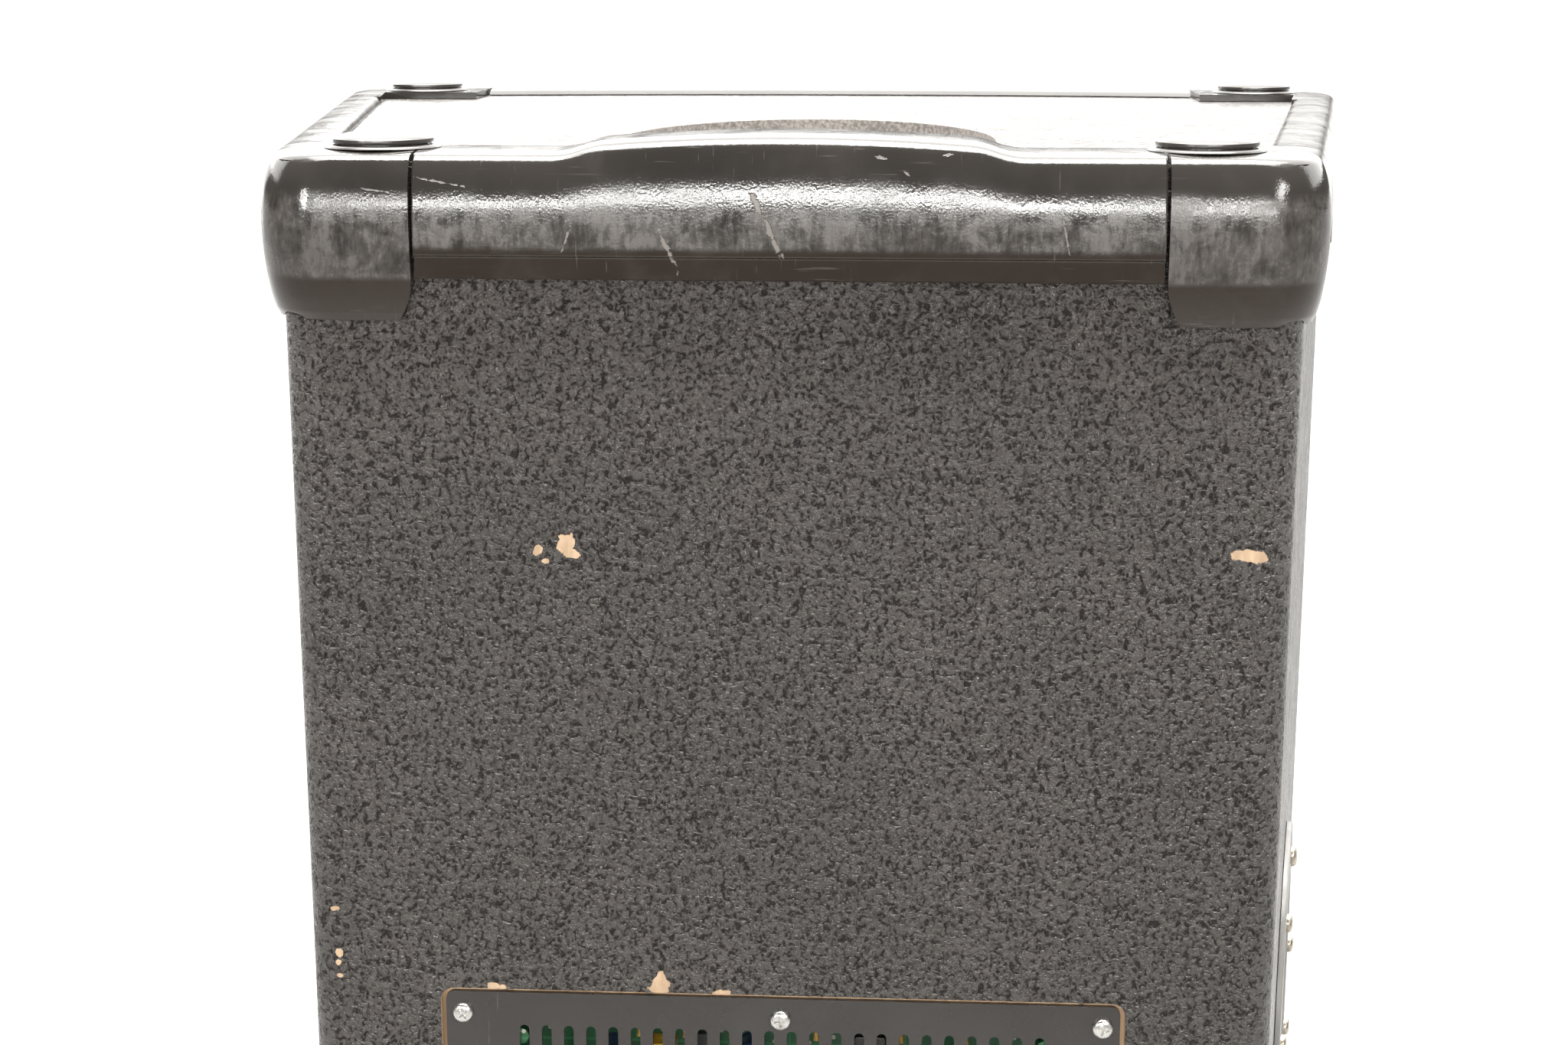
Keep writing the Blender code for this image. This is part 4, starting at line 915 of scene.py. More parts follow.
def make_finishes(layout: Layout) -> Finishes:
    """Mixes every finish of the cabinet.

    Args:
        layout: where the cabinet's planes are.

    Returns:
        The materials by name.
    """
    face = layout.rear_y
    chips = (
        Chip((0.0812, face, 0.6118), (0.0034, 0.004, 0.0044)),
        Chip((0.0796, face, 0.6082), (0.0032, 0.004, 0.0022)),
        Chip((0.0918, face, 0.6090), (0.0022, 0.004, 0.0020)),
        Chip((0.0890, face, 0.6050), (0.0014, 0.004, 0.0010)),
        Chip((-0.1660, face, 0.6110), (0.0060, 0.004, 0.0024)),
        Chip((-0.1706, face, 0.6104), (0.0036, 0.004, 0.0022)),
        Chip((0.1122, face, 0.4370), (0.0030, 0.004, 0.0016)),
        Chip((0.1094, face, 0.4366), (0.0018, 0.004, 0.0013)),
        Chip((0.0487, face, 0.4378), (0.0040, 0.004, 0.0034)),
        Chip((0.0486, face, 0.4412), (0.0024, 0.004, 0.0040)),
        Chip((0.0252, face, 0.4366), (0.0040, 0.004, 0.0012)),
        Chip((0.1728, face, 0.4673), (0.0018, 0.006, 0.0010)),
        Chip((0.1721, face, 0.4490), (0.0014, 0.006, 0.0022)),
        Chip((0.1727, face, 0.4452), (0.0012, 0.006, 0.0012)),
        Chip((0.1723, face, 0.4398), (0.0015, 0.006, 0.0010)),
    )
    bar_face = face + 0.008
    gouges = (
        Gouge((0.0104, bar_face, 0.7372), 0.0070, 0.0011, 0.42),
        Gouge((0.0050, bar_face, 0.7262), 0.0085, 0.0011, 0.42),
        Gouge((0.0420, bar_face, 0.7215), 0.0090, 0.0009, 0.40),
        Gouge((-0.0330, bar_face, 0.7532), 0.0024, 0.0005, 1.35),
        Gouge((-0.0560, bar_face, 0.7542), 0.0020, 0.0005, 1.72),
        Gouge((0.0780, bar_face, 0.7240), 0.0050, 0.0005, -0.35),
        Gouge((-0.0980, bar_face, 0.7270), 0.0070, 0.0005, 0.2),
        Gouge((0.1220, bar_face, 0.7440), 0.0100, 0.0004, 1.40),
        Gouge((-0.0420, bar_face, 0.7480), 0.0018, 0.0005, 0.9),
        Gouge((0.1450, bar_face, 0.7410), 0.0060, 0.0004, 1.45),
    )
    recipes = {
        "box_paint": SpatterPaint("spatter_paint", chips),
        "moulding": ScuffedMoulding(
            "scuffed_moulding", layout.frame_top - 0.0328, layout.frame_top - 0.0195, gouges,
        ),
        "cap_moulding": ScuffedMoulding(
            "scuffed_caps", layout.frame_top - 0.0440, layout.frame_top - 0.0150, gouges,
        ),
        "rail_moulding": ScuffedMoulding(
            "satin_rails", layout.frame_top - 0.0328, layout.frame_top - 0.0120, wear=0.30,
        ),
        "lower_moulding": ScuffedMoulding(
            "scuffed_lower", layout.frame_bottom, layout.frame_bottom + 0.0328, wear=0.35, painted_shade_below=False,
        ),
        "cup_floor": Plain(
            "worn_cup", (0.085, 0.080, 0.074), (0.050, 0.047, 0.044), 0.5, 0.75, 620.0, 0.0004, 0.0, 600.0,
        ),
        # painted light: far lighter than the box paint, standing in for the light on the finger recess's
        # painted wall
        "cup_moulding": Plain(
            "cup_moulding", (0.30, 0.275, 0.25), (0.15, 0.135, 0.125), 0.5, 0.75, 620.0, 0.0004, 0.0, 600.0,
        ),
        "bare_wood": PlyEdge("bare_ply"),
        "wash": Plain("black_wash", (0.030, 0.028, 0.026), (0.018, 0.017, 0.016), 0.7, 0.92, 300.0, 0.0002),
        "enamel": Enamel("black_enamel"),
        "channel": Enamel("channel_enamel", (0.026, 0.025, 0.025)),
        "zinc": Brushed("zinc_screws", (0.60, 0.59, 0.57), (1.0, 1.0, 1.0), 0.18, 0.40),
        "black_screw": Plain(
            "black_screws", (0.060, 0.058, 0.056), (0.035, 0.034, 0.033), 0.28, 0.45, 900.0, 0.00003, 0.6,
        ),
        "rubber": Plain(
            "foot_moulding", (0.042, 0.038, 0.035), (0.030, 0.027, 0.025), 0.14, 0.34, 700.0, 0.00003,
        ),
        "grille": Plain(
            "grille_coat", (0.036, 0.035, 0.034), (0.022, 0.021, 0.021), 0.42, 0.62, 1100.0, 0.00006, 0.3,
        ),
        "handle": Plain(
            "handle_coat", (0.24, 0.235, 0.225), (0.17, 0.165, 0.158), 0.36, 0.55, 800.0, 0.00010, 0.2,
        ),
        "board": CircuitLaminate("circuit_laminate"),
        "aluminium": Brushed("extruded_aluminium", (0.62, 0.63, 0.64), (1.0, 1.0, 0.04), 0.28, 0.5),
        "cone": Cloth("cone_paper", (0.038, 0.036, 0.035), (0.018, 0.017, 0.017), 520.0),
        "surround": Cloth("surround_cloth", (0.030, 0.029, 0.028), (0.014, 0.013, 0.013), 1400.0, 0.00010),
        "spider": Cloth("spider_cloth", (0.50, 0.30, 0.08), (0.30, 0.17, 0.05), 1200.0),
        "horn": Plain(
            "horn_moulding", (0.032, 0.031, 0.031), (0.022, 0.022, 0.022), 0.34, 0.5, 1000.0, 0.00005,
        ),
        "magnet": Plain("ferrite", (0.16, 0.155, 0.15), (0.09, 0.09, 0.088), 0.45, 0.7, 500.0, 0.00015, 0.35),
        "transformer": Cloth("winding_tape", (0.34, 0.20, 0.05), (0.16, 0.09, 0.03), 700.0),
        "socket": Plain(
            "socket_moulding", (0.030, 0.030, 0.030), (0.020, 0.020, 0.020), 0.34, 0.52, 1000.0, 0.00004,
        ),
        "knob": Plain(
            "knob_moulding", (0.036, 0.036, 0.036), (0.024, 0.024, 0.024), 0.40, 0.6, 1300.0, 0.00004,
        ),
        "rocker": Plain(
            "rocker_moulding", (0.020, 0.020, 0.021), (0.014, 0.014, 0.014), 0.10, 0.22, 600.0, 0.00001,
        ),
        "print": Plain("white_print", (0.72, 0.71, 0.68), (0.58, 0.57, 0.54), 0.5, 0.7, 900.0, 0.00002),
        "old_brass": Brushed("tarnished_screws", (0.42, 0.38, 0.31), (1.0, 1.0, 1.0), 0.25, 0.5),
        "copper": Brushed("enamelled_copper", (0.72, 0.32, 0.14), (1.0, 8.0, 1.0), 0.2, 0.35),
        "contact": Brushed("gilt_contacts", (0.85, 0.62, 0.26), (1.0, 1.0, 1.0), 0.15, 0.3),
        "amber": Plain("film_capacitor", (0.74, 0.45, 0.02), (0.60, 0.34, 0.015), 0.22, 0.4, 500.0, 0.00004),
        "sleeve": Plain(
            "capacitor_sleeve", (0.015, 0.03, 0.10), (0.010, 0.02, 0.06), 0.2, 0.34, 500.0, 0.00003,
        ),
        "chip": Plain("chip_case", (0.024, 0.024, 0.025), (0.016, 0.016, 0.016), 0.4, 0.6, 1200.0, 0.00004),
        "lens": Plain("green_lens", (0.05, 0.55, 0.14), (0.03, 0.42, 0.10), 0.06, 0.14, 500.0, 0.00001),
        "floor": Plain(
            "pale_floor", (0.36, 0.36, 0.357), (0.35, 0.35, 0.347), 0.55, 0.75, 60.0, 0.00001, 0.0, 3.0,
        ),
    }
    return {name: finish.build() for name, finish in recipes.items()}


# ---------------------------------------------------------------- screws
class Drive(Enum):
    """Head shapes of the cabinet's screws."""

    PAN = "pan"
    FLAT = "flat"


@dataclass(frozen=True)
class Screw:
    """A cross-recessed screw head that sits on a face."""

    radius: float = 0.0040
    height: float = 0.0024
    recess: float = 0.0046
    drive: Drive = Drive.PAN

    def head(self) -> bmesh.types.BMesh:
        """One head, standing on the plane z = 0.

        Returns:
            The head's mesh.
        """
        r, h = self.radius, self.height
        if self.drive is Drive.PAN:
            line = [
                (r, 0.0), (r, h * 0.30), (r * 0.97, h * 0.52), (r * 0.86, h * 0.76), (r * 0.66, h * 0.92),
                (r * 0.36, h),
            ]
        else:
            line = [(r, 0.0), (r, h * 0.55), (r * 0.94, h * 0.85), (r * 0.80, h)]
        dome = lathe([(0.0, 0.0), *smoothed(line, 2), (0.0, h * 1.01)], 20)
        tools = []
        for turn in (0.0, math.pi / 2):
            blade = bmesh.new()
            place = Matrix.Rotation(turn, 4, "Z") @ Matrix.Translation((0, 0, h * 1.05))
            bmesh.ops.create_cube(
                blade, size=1.0, matrix=place @ Matrix.Diagonal((self.recess, r * 0.24, h * 1.1, 1)),
            )
            tools.append(blade)
        return carved(dome, tools)

    def fitted(self, places: Sequence[Matrix], turns: float = 0.7) -> bmesh.types.BMesh:
        """Heads at several places, each with its recess turned a little further.

        Args:
            places: a matrix for each screw, +Z out of the face.
            turns: how far each recess turns past the last, in radians.

        Returns:
            All the heads in one mesh.
        """
        spun = [place @ Matrix.Rotation(turns * (i + 1) ** 1.3, 4, "Z") for i, place in enumerate(places)]
        return repeated(self.head(), spun)


# ---------------------------------------------------------------- the wooden box
@dataclass
class WoodenBox:
    """Painted plywood shell with its amplifier opening, handle windows and finger recess."""

    layout: Layout
    finishes: Finishes
    edge_radius: float = 0.011
    rebate_depth: float = 0.0035
    rebate_clearance: float = 0.0018
    rebate_ledge: float = 0.011
    recess_half: float = 0.076
    recess_start: float = 0.042
    recess_bend: float = 0.120
    recess_apex: float = 0.250
    cup_depth: float = 0.044
    cup_wall: float = 0.0025
    cup_taper: float = 0.012
    handle_opening: Point = (0.092, 0.150)
    handle_inset: float = 0.200

    def build(self) -> None:
        """Builds the shell, the end panels and the finger cup."""
        self._shell()
        self._top_panel()
        self._cup()

    def _shell_outline(self) -> list[Point]:
        """The rear and both sides in plan, as one U-shaped wall."""
        lay, rear = self.layout, self.layout.rear_y
        inner = rear - lay.wall
        outer_front, inner_front = lay.front_corner(0.0, 0.0), lay.front_corner(-lay.wall, 0.0)
        half, room = lay.half_width(rear), lay.half_width(inner, -lay.wall)
        points = [
            outer_front, (half, rear), (-half, rear), (-outer_front[0], outer_front[1]),
            (-inner_front[0], inner_front[1]), (-room, inner), (room, inner), inner_front,
        ]
        return rounded(points, [0, self.edge_radius, self.edge_radius, 0, 0, 0, 0, 0], 12)

    def _shell(self) -> None:
        """Rear and side panels as one continuous painted shell."""
        lay = self.layout
        outline = self._shell_outline()
        shell = stack([outline, outline], [lay.inside_bottom, lay.inside_top])
        size = lay.plate_high - lay.plate_low
        window = rounded_box(size.x - 2 * self.rebate_ledge, size.z - 2 * self.rebate_ledge, 0.008)
        rebate = rounded_box(size.x + 2 * self.rebate_clearance, size.z + 2 * self.rebate_clearance, 0.0053)
        face = lay.on_plate(0, 0, lay.rear_y - lay.plate_high.y)
        tools = [
            placed(stack([window, window], [-0.05, 0.01]), face),
            placed(stack([rebate, rebate], [-self.rebate_depth, 0.01]), face),
        ]
        hole = rounded_box(self.handle_opening[0] + 0.0056, self.handle_opening[1] + 0.0056, 0.0488)
        for side in Side:
            place = lay.on_side(side, self.handle_inset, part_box("side_handle_left")[0].z + 0.100)
            tools.append(placed(stack([hole, hole], [-0.04, 0.02]), place))
        mesh = carved(shell, tools)
        for item in mesh.faces:
            middle = item.calc_center_median()
            item.material_index = int(
                self._is_rebate(middle) and item.normal.y > -0.5 and lay.rear_y - middle.y > 1e-4,
            )
        eased(mesh, 0.0005, 2, 50.0)
        finishes = [self.finishes["box_paint"], self.finishes["bare_wood"]]
        settle(
            "painted_shell", mesh, finishes,
            replaces=("rear_panel", "side_panel_left", "side_panel_right"),
        )

    def _is_rebate(self, point: Vector) -> bool:
        """Tells whether a point lies in the amplifier's routed opening."""
        lay = self.layout
        return (
            lay.plate_low.x - 0.0025 < point.x < lay.plate_high.x + 0.0025
            and lay.plate_low.z - 0.0025 < point.z < lay.plate_high.z + 0.0025
            and point.y > lay.rear_y - lay.wall - 1e-4
        )

    def recess(self, margin: float = 0.0, steps: int = 48) -> list[Point]:
        """The finger recess in plan: straight sides and a half ellipse towards the front.

        Args:
            margin: how far inside the opening's edge.
            steps: segments of the half ellipse.

        Returns:
            The outline.
        """
        half = self.recess_half - margin
        reach = self.recess_apex - self.recess_bend - margin
        rear = self.layout.rear_y - self.recess_start - margin
        bend = self.layout.rear_y - self.recess_bend
        arc = [math.pi * i / steps for i in range(steps + 1)]
        line = [(half * math.cos(t), bend - reach * math.sin(t)) for t in arc]
        return [
            (half - 0.006, rear), (half, rear - 0.006), *line, (-half, rear - 0.006), (-half + 0.006, rear),
        ]

    def _panel_outline(self) -> list[Point]:
        """The whole box in plan."""
        lay = self.layout
        corner = lay.front_corner(0.0, 0.0)[0]
        xs = [-corner + 2 * corner * i / 28 for i in range(29)]
        half = lay.half_width(lay.rear_y)
        points = [(half, lay.rear_y), (-half, lay.rear_y)] + [(x, lay.curve_y(x)) for x in xs]
        return rounded(points, [self.edge_radius] * 2 + [0] * len(xs), 12)

    def _top_panel(self) -> None:
        """Top panel with a softened rim round the finger recess, whose wall carries painted light."""
        lay = self.layout
        mesh = pierced(self._panel_outline(), [self.recess()], lay.inside_top + lay.gap, lay.wood_top)
        eased(mesh, 0.0060, 6, 50.0, lay.wood_top - 0.0001)
        # painted light: the recess's wall faces get the lighter wall finish, standing in for the light that
        # falls on them
        for item in mesh.faces:
            middle = item.calc_center_median()
            item.material_index = int(
                item.normal.z < 0.8 and abs(middle.x) < 0.080 and lay.rear_y - 0.255 < middle.y < 0.205,
            )
        finishes = [self.finishes["box_paint"], self.finishes["cup_moulding"]]
        settle("top_board", mesh, finishes, replaces=("top_panel",))
        dress_node("bottom_panel", self.finishes["box_paint"])

    def _cup(self) -> None:
        """Moulded finger cup with a rounded floor."""
        top = self.layout.inside_top
        depth, wall, taper = self.cup_depth, self.cup_wall, self.cup_taper
        inside = [
            (taper + 0.010, -depth + wall), (taper + 0.0045, -depth + wall + 0.0012),
            (taper, -depth + wall + 0.0055),
        ]
        inside += [(taper * 0.45, -depth * 0.48), (0.0, 0.0)]
        outside = [
            (-0.006, 0.0), (-0.006, -wall), (-wall, -wall), (taper - wall, -depth + 0.004),
            (taper + 0.002, -depth),
        ]
        outlines = [self.recess(margin) for margin, _ in inside + outside]
        mesh = stack(outlines, [top + height for _, height in inside + outside])
        settle("recess_cup", mesh, [self.finishes["cup_floor"]], replaces=("finger_cup",))


def dress_node(node: str, finish: bpy.types.Material, soften: float = 0.0) -> None:
    """Gives a CAD node that stays in view a better material and softer edges.

    Args:
        node: the node's name.
        finish: its material.
        soften: size of the bevel on its sharp edges.
    """
    shown = bpy.data.objects[node]
    shown.data.materials.clear()
    shown.data.materials.append(finish)
    if soften:
        bevel = shown.modifiers.new("soften", "BEVEL")
        bevel.width, bevel.segments = soften, 2
        bevel.limit_method, bevel.angle_limit = "ANGLE", math.radians(50)
    LOG.info("%s: CAD node with %s", node, finish.name)


# ---------------------------------------------------------------- moulded end frames
@dataclass
class EndFrame:
    """One moulded frame: rear bar, front bar, two rails and four corner caps."""

    layout: Layout
    finishes: Finishes
    level: Level
    reach: float = 0.008
    lip: float = 0.0035
    bar_skirt: float = 0.0445
    cap_skirt: float = 0.060
    rear_flange: float = 0.037
    side_flange: float = 0.016
    front_flange: float = 0.018
    front_reach: float = 0.016
    rear_seam: float = 0.1335
    front_seam: float = 0.185
    rear_cap: float = 0.050
    front_cap: float = 0.079
    seam: float = 0.0012
    grille_room: float = 0.0075
    foot_inset: float = 0.427
    profile: tuple[Point, ...] = (
        (-0.0070, 0.0), (-0.0012, 0.0006), (0.0026, 0.0020), (0.0046, 0.0050), (0.0066, 0.0110),
        (0.0077, 0.0185), (0.0080, 0.0250),
    )

    @property
    def finish(self) -> bpy.types.Material:
        """The bars' moulding on this level."""
        return self.finishes["moulding" if self.level is Level.TOP else "lower_moulding"]

    @property
    def rail_finish(self) -> bpy.types.Material:
        """The rails' and front bar's moulding on this level."""
        return self.finishes["rail_moulding" if self.level is Level.TOP else "lower_moulding"]

    @property
    def cap_finish(self) -> bpy.types.Material:
        """The caps' moulding on this level."""
        return self.finishes["cap_moulding" if self.level is Level.TOP else "lower_moulding"]

    @property
    def word(self) -> str:
        """The level's word in node names."""
        return "top" if self.level is Level.TOP else "bottom"

    def build(self) -> None:
        """Builds the bars, the rails and the caps."""
        self._rear_bar()
        self._front_bar()
        box = self._box_outline()
        for side in Side:
            self._rail(side)
            self._cap(side, self._rear_cap_outline, "rear_cap", box)
            self._cap(side, self._front_cap_outline, "front_cap", box)

    def section(self, flange: float, inner: float, reach: float) -> list[Point]:
        """A bar's closed L section as (outset, depth) points.

        Args:
            flange: how far it laps over the wood.
            inner: outset of the skirt's inner face.
            reach: outset of the skirt's outer face.

        Returns:
            The section.
        """
        skirt, shift = self.bar_skirt, reach - self.reach
        outside = [(outset + shift, depth) for outset, depth in smoothed(self.profile, 4)]
        foot = [
            (reach, skirt - 0.0092), (reach - 0.0003, skirt - 0.0086), (reach - 0.0013, skirt - 0.0080),
            (reach - 0.0016, skirt - 0.0074), (reach - 0.0016, skirt - 0.0006), (reach - 0.0022, skirt),
        ]
        inside = [(inner, skirt), (inner, self.lip - self.layout.gap), (-flange, self.lip - self.layout.gap)]
        ramp = 0.011 if flange == self.front_flange else 0.0034
        back = [
            (-flange, 0.0028), (-flange + 0.2 * ramp, 0.0015), (-flange + 0.5 * ramp, 0.0005),
            (-flange + ramp, 0.0),
        ]
        return back + outside + foot + inside

    def _grip_lift(self, x: float) -> float:
        """Rise of the carrying grip at x: a crowned bar with a short ramp at each end."""
        edge = 0.084 - abs(x)
        if self.level is Level.BOTTOM or edge <= 0:
            return 0.0
        ramp = min(1.0, edge / 0.018)
        return 0.0030 * ramp * ramp * (3 - 2 * ramp) + 0.0035 * max(0.0, 1 - (x / 0.076) ** 2)

    def _rear_bar(self) -> None:
        """Rear bar, raised into a carrying grip on the upper frame."""
        lay, gap = self.layout, self.layout.gap
        section = self.section(self.rear_flange, gap, self.reach)
        reach = self.rear_seam - self.seam / 2
        half = [
            reach, reach - 0.0006, 0.0845,
        ] + [0.083 - 0.0015 * i for i in range(12)] + [0.064 * (1 - i / 16) for i in range(17)]
        stations = sorted({-x for x in half} | set(half))
        rings = []
        for x in stations:
            shrink = 0.0005 if abs(x) > reach - 0.0001 else 0.0
            ring = []
            for outset, depth in section:
                lifted = depth < self.lip - 2 * gap or outset > gap
                rise = self._grip_lift(x) * max(0.0, 1 - depth / 0.022) if lifted else 0.0
                soft = shrink if outset > gap and depth < self.bar_skirt - 0.002 else 0.0
                height = lay.level_z(self.level, depth) + self.level.value * (rise - soft)
                ring.append((x, lay.rear_y + outset - soft, height))
            rings.append(ring)
        node = "top_handle_bar" if self.level is Level.TOP else "bottom_rear_bar"
        settle(f"{node}_moulding", loft(rings), [self.finish], replaces=(node,))

    def _front_bar(self) -> None:
        """Front bar, which follows the curved front edge."""
        lay = self.layout
        section = self.section(self.front_flange, self.grille_room, self.front_reach)
        reach = self.front_seam - self.seam / 2
        stations = [-reach + 2 * reach * i / 32 for i in range(33)]
        rings = [
            [
                (x, lay.curve_y(x, outset), lay.level_z(self.level, depth)) for outset, depth in section
            ] for x in stations
        ]
        node = f"{self.word}_front_bar"
        settle(f"{node}_moulding", loft(rings), [self.rail_finish], replaces=(node,))

    def _rail(self, side: Side) -> None:
        """Side rail between two caps."""
        lay = self.layout
        section = self.section(self.side_flange, lay.gap, self.reach)
        rear = lay.rear_y - self.rear_cap - self.seam
        front = lay.front_corner(0.0, 0.0)[1] + self.front_cap + self.seam
        rings = [
            [
                (side.value * lay.half_width(y, outset), y, lay.level_z(self.level, depth)) for outset,
                depth in section
            ]
            for y in (rear, (rear + front) / 2, front)
        ]
        node = f"{self.word}_rail_{side.name.lower()}"
        settle(f"{node}_moulding", loft(rings), [self.rail_finish], replaces=(node,))

    def _rear_cap_outline(self, outset: float, depth: float) -> list[Point]:
        """A rear cap in plan on the right; its foot slants away from the seam."""
        lay = self.layout
        seam = lay.rear_y - self.rear_cap
        inner, rear = seam + 0.004, lay.rear_y + outset
        below = max(0.0, depth - self.bar_skirt) / (self.cap_skirt - self.bar_skirt)
        start = self.rear_seam + self.seam / 2 + 0.0053 * below ** 2
        points = [
            (start, rear), (start, inner), (lay.half_width(inner, -self.side_flange), inner),
            (lay.half_width(seam, -self.side_flange), seam), (lay.half_width(seam, outset), seam),
            (lay.half_width(rear, outset), rear),
        ]
        return rounded(points, [0, 0, 0, 0, 0, 0.026 + 0.2 * (self.reach - outset)], 14)

    def _front_cap_outline(self, outset: float, depth: float) -> list[Point]:
        """A front cap in plan on the right; its foot slants away from the seam."""
        lay = self.layout
        seam = lay.front_corner(0.0, 0.0)[1] + self.front_cap
        inner = lay.rear_y - self.foot_inset + 0.0215
        outset -= 0.0003
        reach = self.front_reach - self.reach + outset
        corner = lay.front_corner(outset, reach)
        below = max(0.0, depth - self.bar_skirt) / (self.cap_skirt - self.bar_skirt)
        start = self.front_seam + self.seam / 2 + 0.0053 * below ** 2
        waypoint = (start + corner[0]) / 2
        points = [
            (start, inner), (lay.half_width(inner, -self.side_flange), inner),
            (lay.half_width(seam, -self.side_flange), seam), (lay.half_width(seam, outset), seam), corner,
            (waypoint, lay.curve_y(waypoint, reach)), (start, lay.curve_y(start, reach)),
        ]
        return rounded(points, [0, 0, 0, 0, 0.020 + 0.2 * (self.reach - outset), 0, 0], 14)

    def _box_outline(self) -> list[Point]:
        """The wooden box in plan, grown by the clearance that the caps keep."""
        lay, gap = self.layout, self.layout.gap
        corner = lay.front_corner(gap, self.grille_room)[0]
        xs = [-corner + 2 * corner * i / 28 for i in range(29)]
        rear = lay.rear_y + gap
        half = lay.half_width(rear, gap)
        points = [(half, rear), (-half, rear)] + [(x, lay.curve_y(x, self.grille_room)) for x in xs]
        return rounded(points, [0.0113] * 2 + [0] * len(xs), 12)

    def _cap(
        self, side: Side, outline: Callable[[float, float], list[Point]], word: str, box: list[Point],
    ) -> None:
        """One corner cap, hollowed by the box.

        Args:
            side: which flank.
            outline: the cap in plan at an outset and a depth.
            word: its word in the node's name.
            box: the box's outline.
        """
        lay, skirt, reach = self.layout, self.cap_skirt, self.reach
        lower = smoothed(
            [(reach, 0.0250), (0.0077, 0.0340), (0.0068, 0.0440), (0.0056, 0.0520), (0.0042, 0.0575)], 4,
        )
        lower = lower[1:] + [(0.0034, skirt - 0.0010), (0.0030, skirt)]
        line = smoothed(self.profile, 4) + lower
        outlines = [[(side.value * x, y) for x, y in outline(outset, depth)] for outset, depth in line]
        solid = stack(outlines, [lay.level_z(self.level, depth) for _, depth in line])
        core = stack([box, box], [lay.wood_bottom - lay.gap, lay.wood_top + lay.gap])
        mesh = carved(solid, [core])
        node = f"{self.word}_{word}_{side.name.lower()}"
        settle(f"{node}_moulding", mesh, [self.cap_finish], replaces=(node,))


@dataclass
class Feet:
    """Eight round feet with a lip, a shallow dished crown and a raised base ring."""

    layout: Layout
    finishes: Finishes
    rear_x: float = 0.149
    rear_inset: float = 0.023
    front_x: float = 0.2155
    front_inset: float = 0.427

    def build(self) -> None:
        """Turns one foot and sets it on every corner."""
        line = smoothed(
            [(0.0190, 0.0021), (0.01845, 0.0031), (0.0168, 0.0040), (0.0140, 0.0047), (0.0130, 0.0048)], 3,
        )
        dish = [(0.0100, 0.00475), (0.0065, 0.0043), (0.0, 0.0041)]
        profile = [(0.0, 0.0), (0.0160, 0.0), (0.0160, 0.0014), (0.0182, 0.0016), (0.01855, 0.0021)]
        profile += [(min(radius, 0.0185), height) for radius, height in line] + dish
        ring = [
            (0.0166, 0.0), (0.0212, 0.0), (0.0208, 0.0006), (0.0200, 0.0010), (0.0172, 0.0010),
            (0.0166, 0.0006),
        ]
        lay = self.layout
        for level in Level:
            face = lay.frame_top + lay.gap if level is Level.TOP else lay.frame_bottom - lay.gap
            turn = Matrix.Identity(4) if level is Level.TOP else Matrix.Rotation(math.pi, 4, "X")
            word = level.name.lower()
            for row, x, inset in (
                ("rear", self.rear_x, self.rear_inset), ("front", self.front_x, self.front_inset),
            ):
                for side in Side:
                    place = Matrix.Translation((side.value * x, lay.rear_y - inset, face)) @ turn
                    foot = placed(joined_meshes([lathe(profile, 40), lathe(ring, 40, True)]), place)
                    node = f"{word}_foot_{row}_{side.name.lower()}"
                    settle(f"{node}_moulding", foot, [self.finishes["rubber"]], replaces=(node,))


# ---------------------------------------------------------------- amplifier plate
@dataclass
class AmplifierPlate:
    """Black steel plate with its vent slots, control holes and screws."""

    layout: Layout
    finishes: Finishes
    slots: int = 24
    slot_width: float = 0.0037
    slot_length: float = 0.045
    slot_edge: float = 0.0302
    slot_drop: float = 0.0133
    row_knobs: float = 0.078
    row_sockets: float = 0.026
    row_mains: float = -0.144
    level_x: float = 0.078
    tone_x: float = 0.038
    button_x: float = 0.001
    input_x: float = 0.074
    link_x: float = 0.030
    inlet_x: float = -0.083
    switch_x: float = -0.033

    def build(self) -> None:
        """Builds the plate and its screws."""
        self._plate()
        self._screws()

    def _holes(self, width: float, height: float) -> list[list[Point]]:
        """Outlines of every opening in the plate."""
        pitch = (width - 2 * self.slot_edge) / (self.slots - 1)
        middle = height / 2 - self.slot_drop - self.slot_length / 2
        holes = []
        for i in range(self.slots):
            x = -width / 2 + self.slot_edge + pitch * i
            holes.append(
                rounded_box(self.slot_width, self.slot_length, self.slot_width / 2 - 1e-5, 4, (x, middle)),
            )
        holes += [circle(0.0033, 16, (x, self.row_knobs)) for x in (self.level_x, self.tone_x)]
        holes.append(circle(0.0043, 20, (self.button_x, self.row_knobs)))
        holes += [circle(0.0121, 36, (x, self.row_sockets)) for x in (self.input_x, self.link_x)]
        for x, size in ((self.inlet_x, (0.0281, 0.0206)), (self.switch_x, (0.0201, 0.0136))):
            holes.append(rounded_box(*size, 0.0004, 2, (x, self.row_mains)))
        return holes

    def _plate(self) -> None:
        """The steel sheet."""
        lay = self.layout
        size = lay.plate_high - lay.plate_low
        outline = rounded_box(size.x, size.z, 0.0035)
        mesh = pierced(outline, self._holes(size.x, size.z), -size.y, 0.0)
        eased(mesh, 0.00028, 2, 50.0)
        settle(
            "enamelled_plate", placed(mesh, lay.on_plate(0, 0)), [self.finishes["enamel"]],
            replaces=("amp_plate",),
        )

    def _screws(self) -> None:
        """Ten screws round the plate's edge."""
        lay = self.layout
        size = lay.plate_high - lay.plate_low
        x, z = size.x / 2 - 0.0066, size.z / 2 - 0.0084
        spots = [
            (-x, z), (0.0, z), (x, z), (-x, z / 3), (x, z / 3), (-x, -z / 3), (x, -z / 3), (-x, -z),
            (0.0, -z), (x, -z),
        ]
        places = [lay.on_plate(a, b, 0.0001) for a, b in spots]
        settle("plate_screws", Screw().fitted(places), [self.finishes["zinc"]])


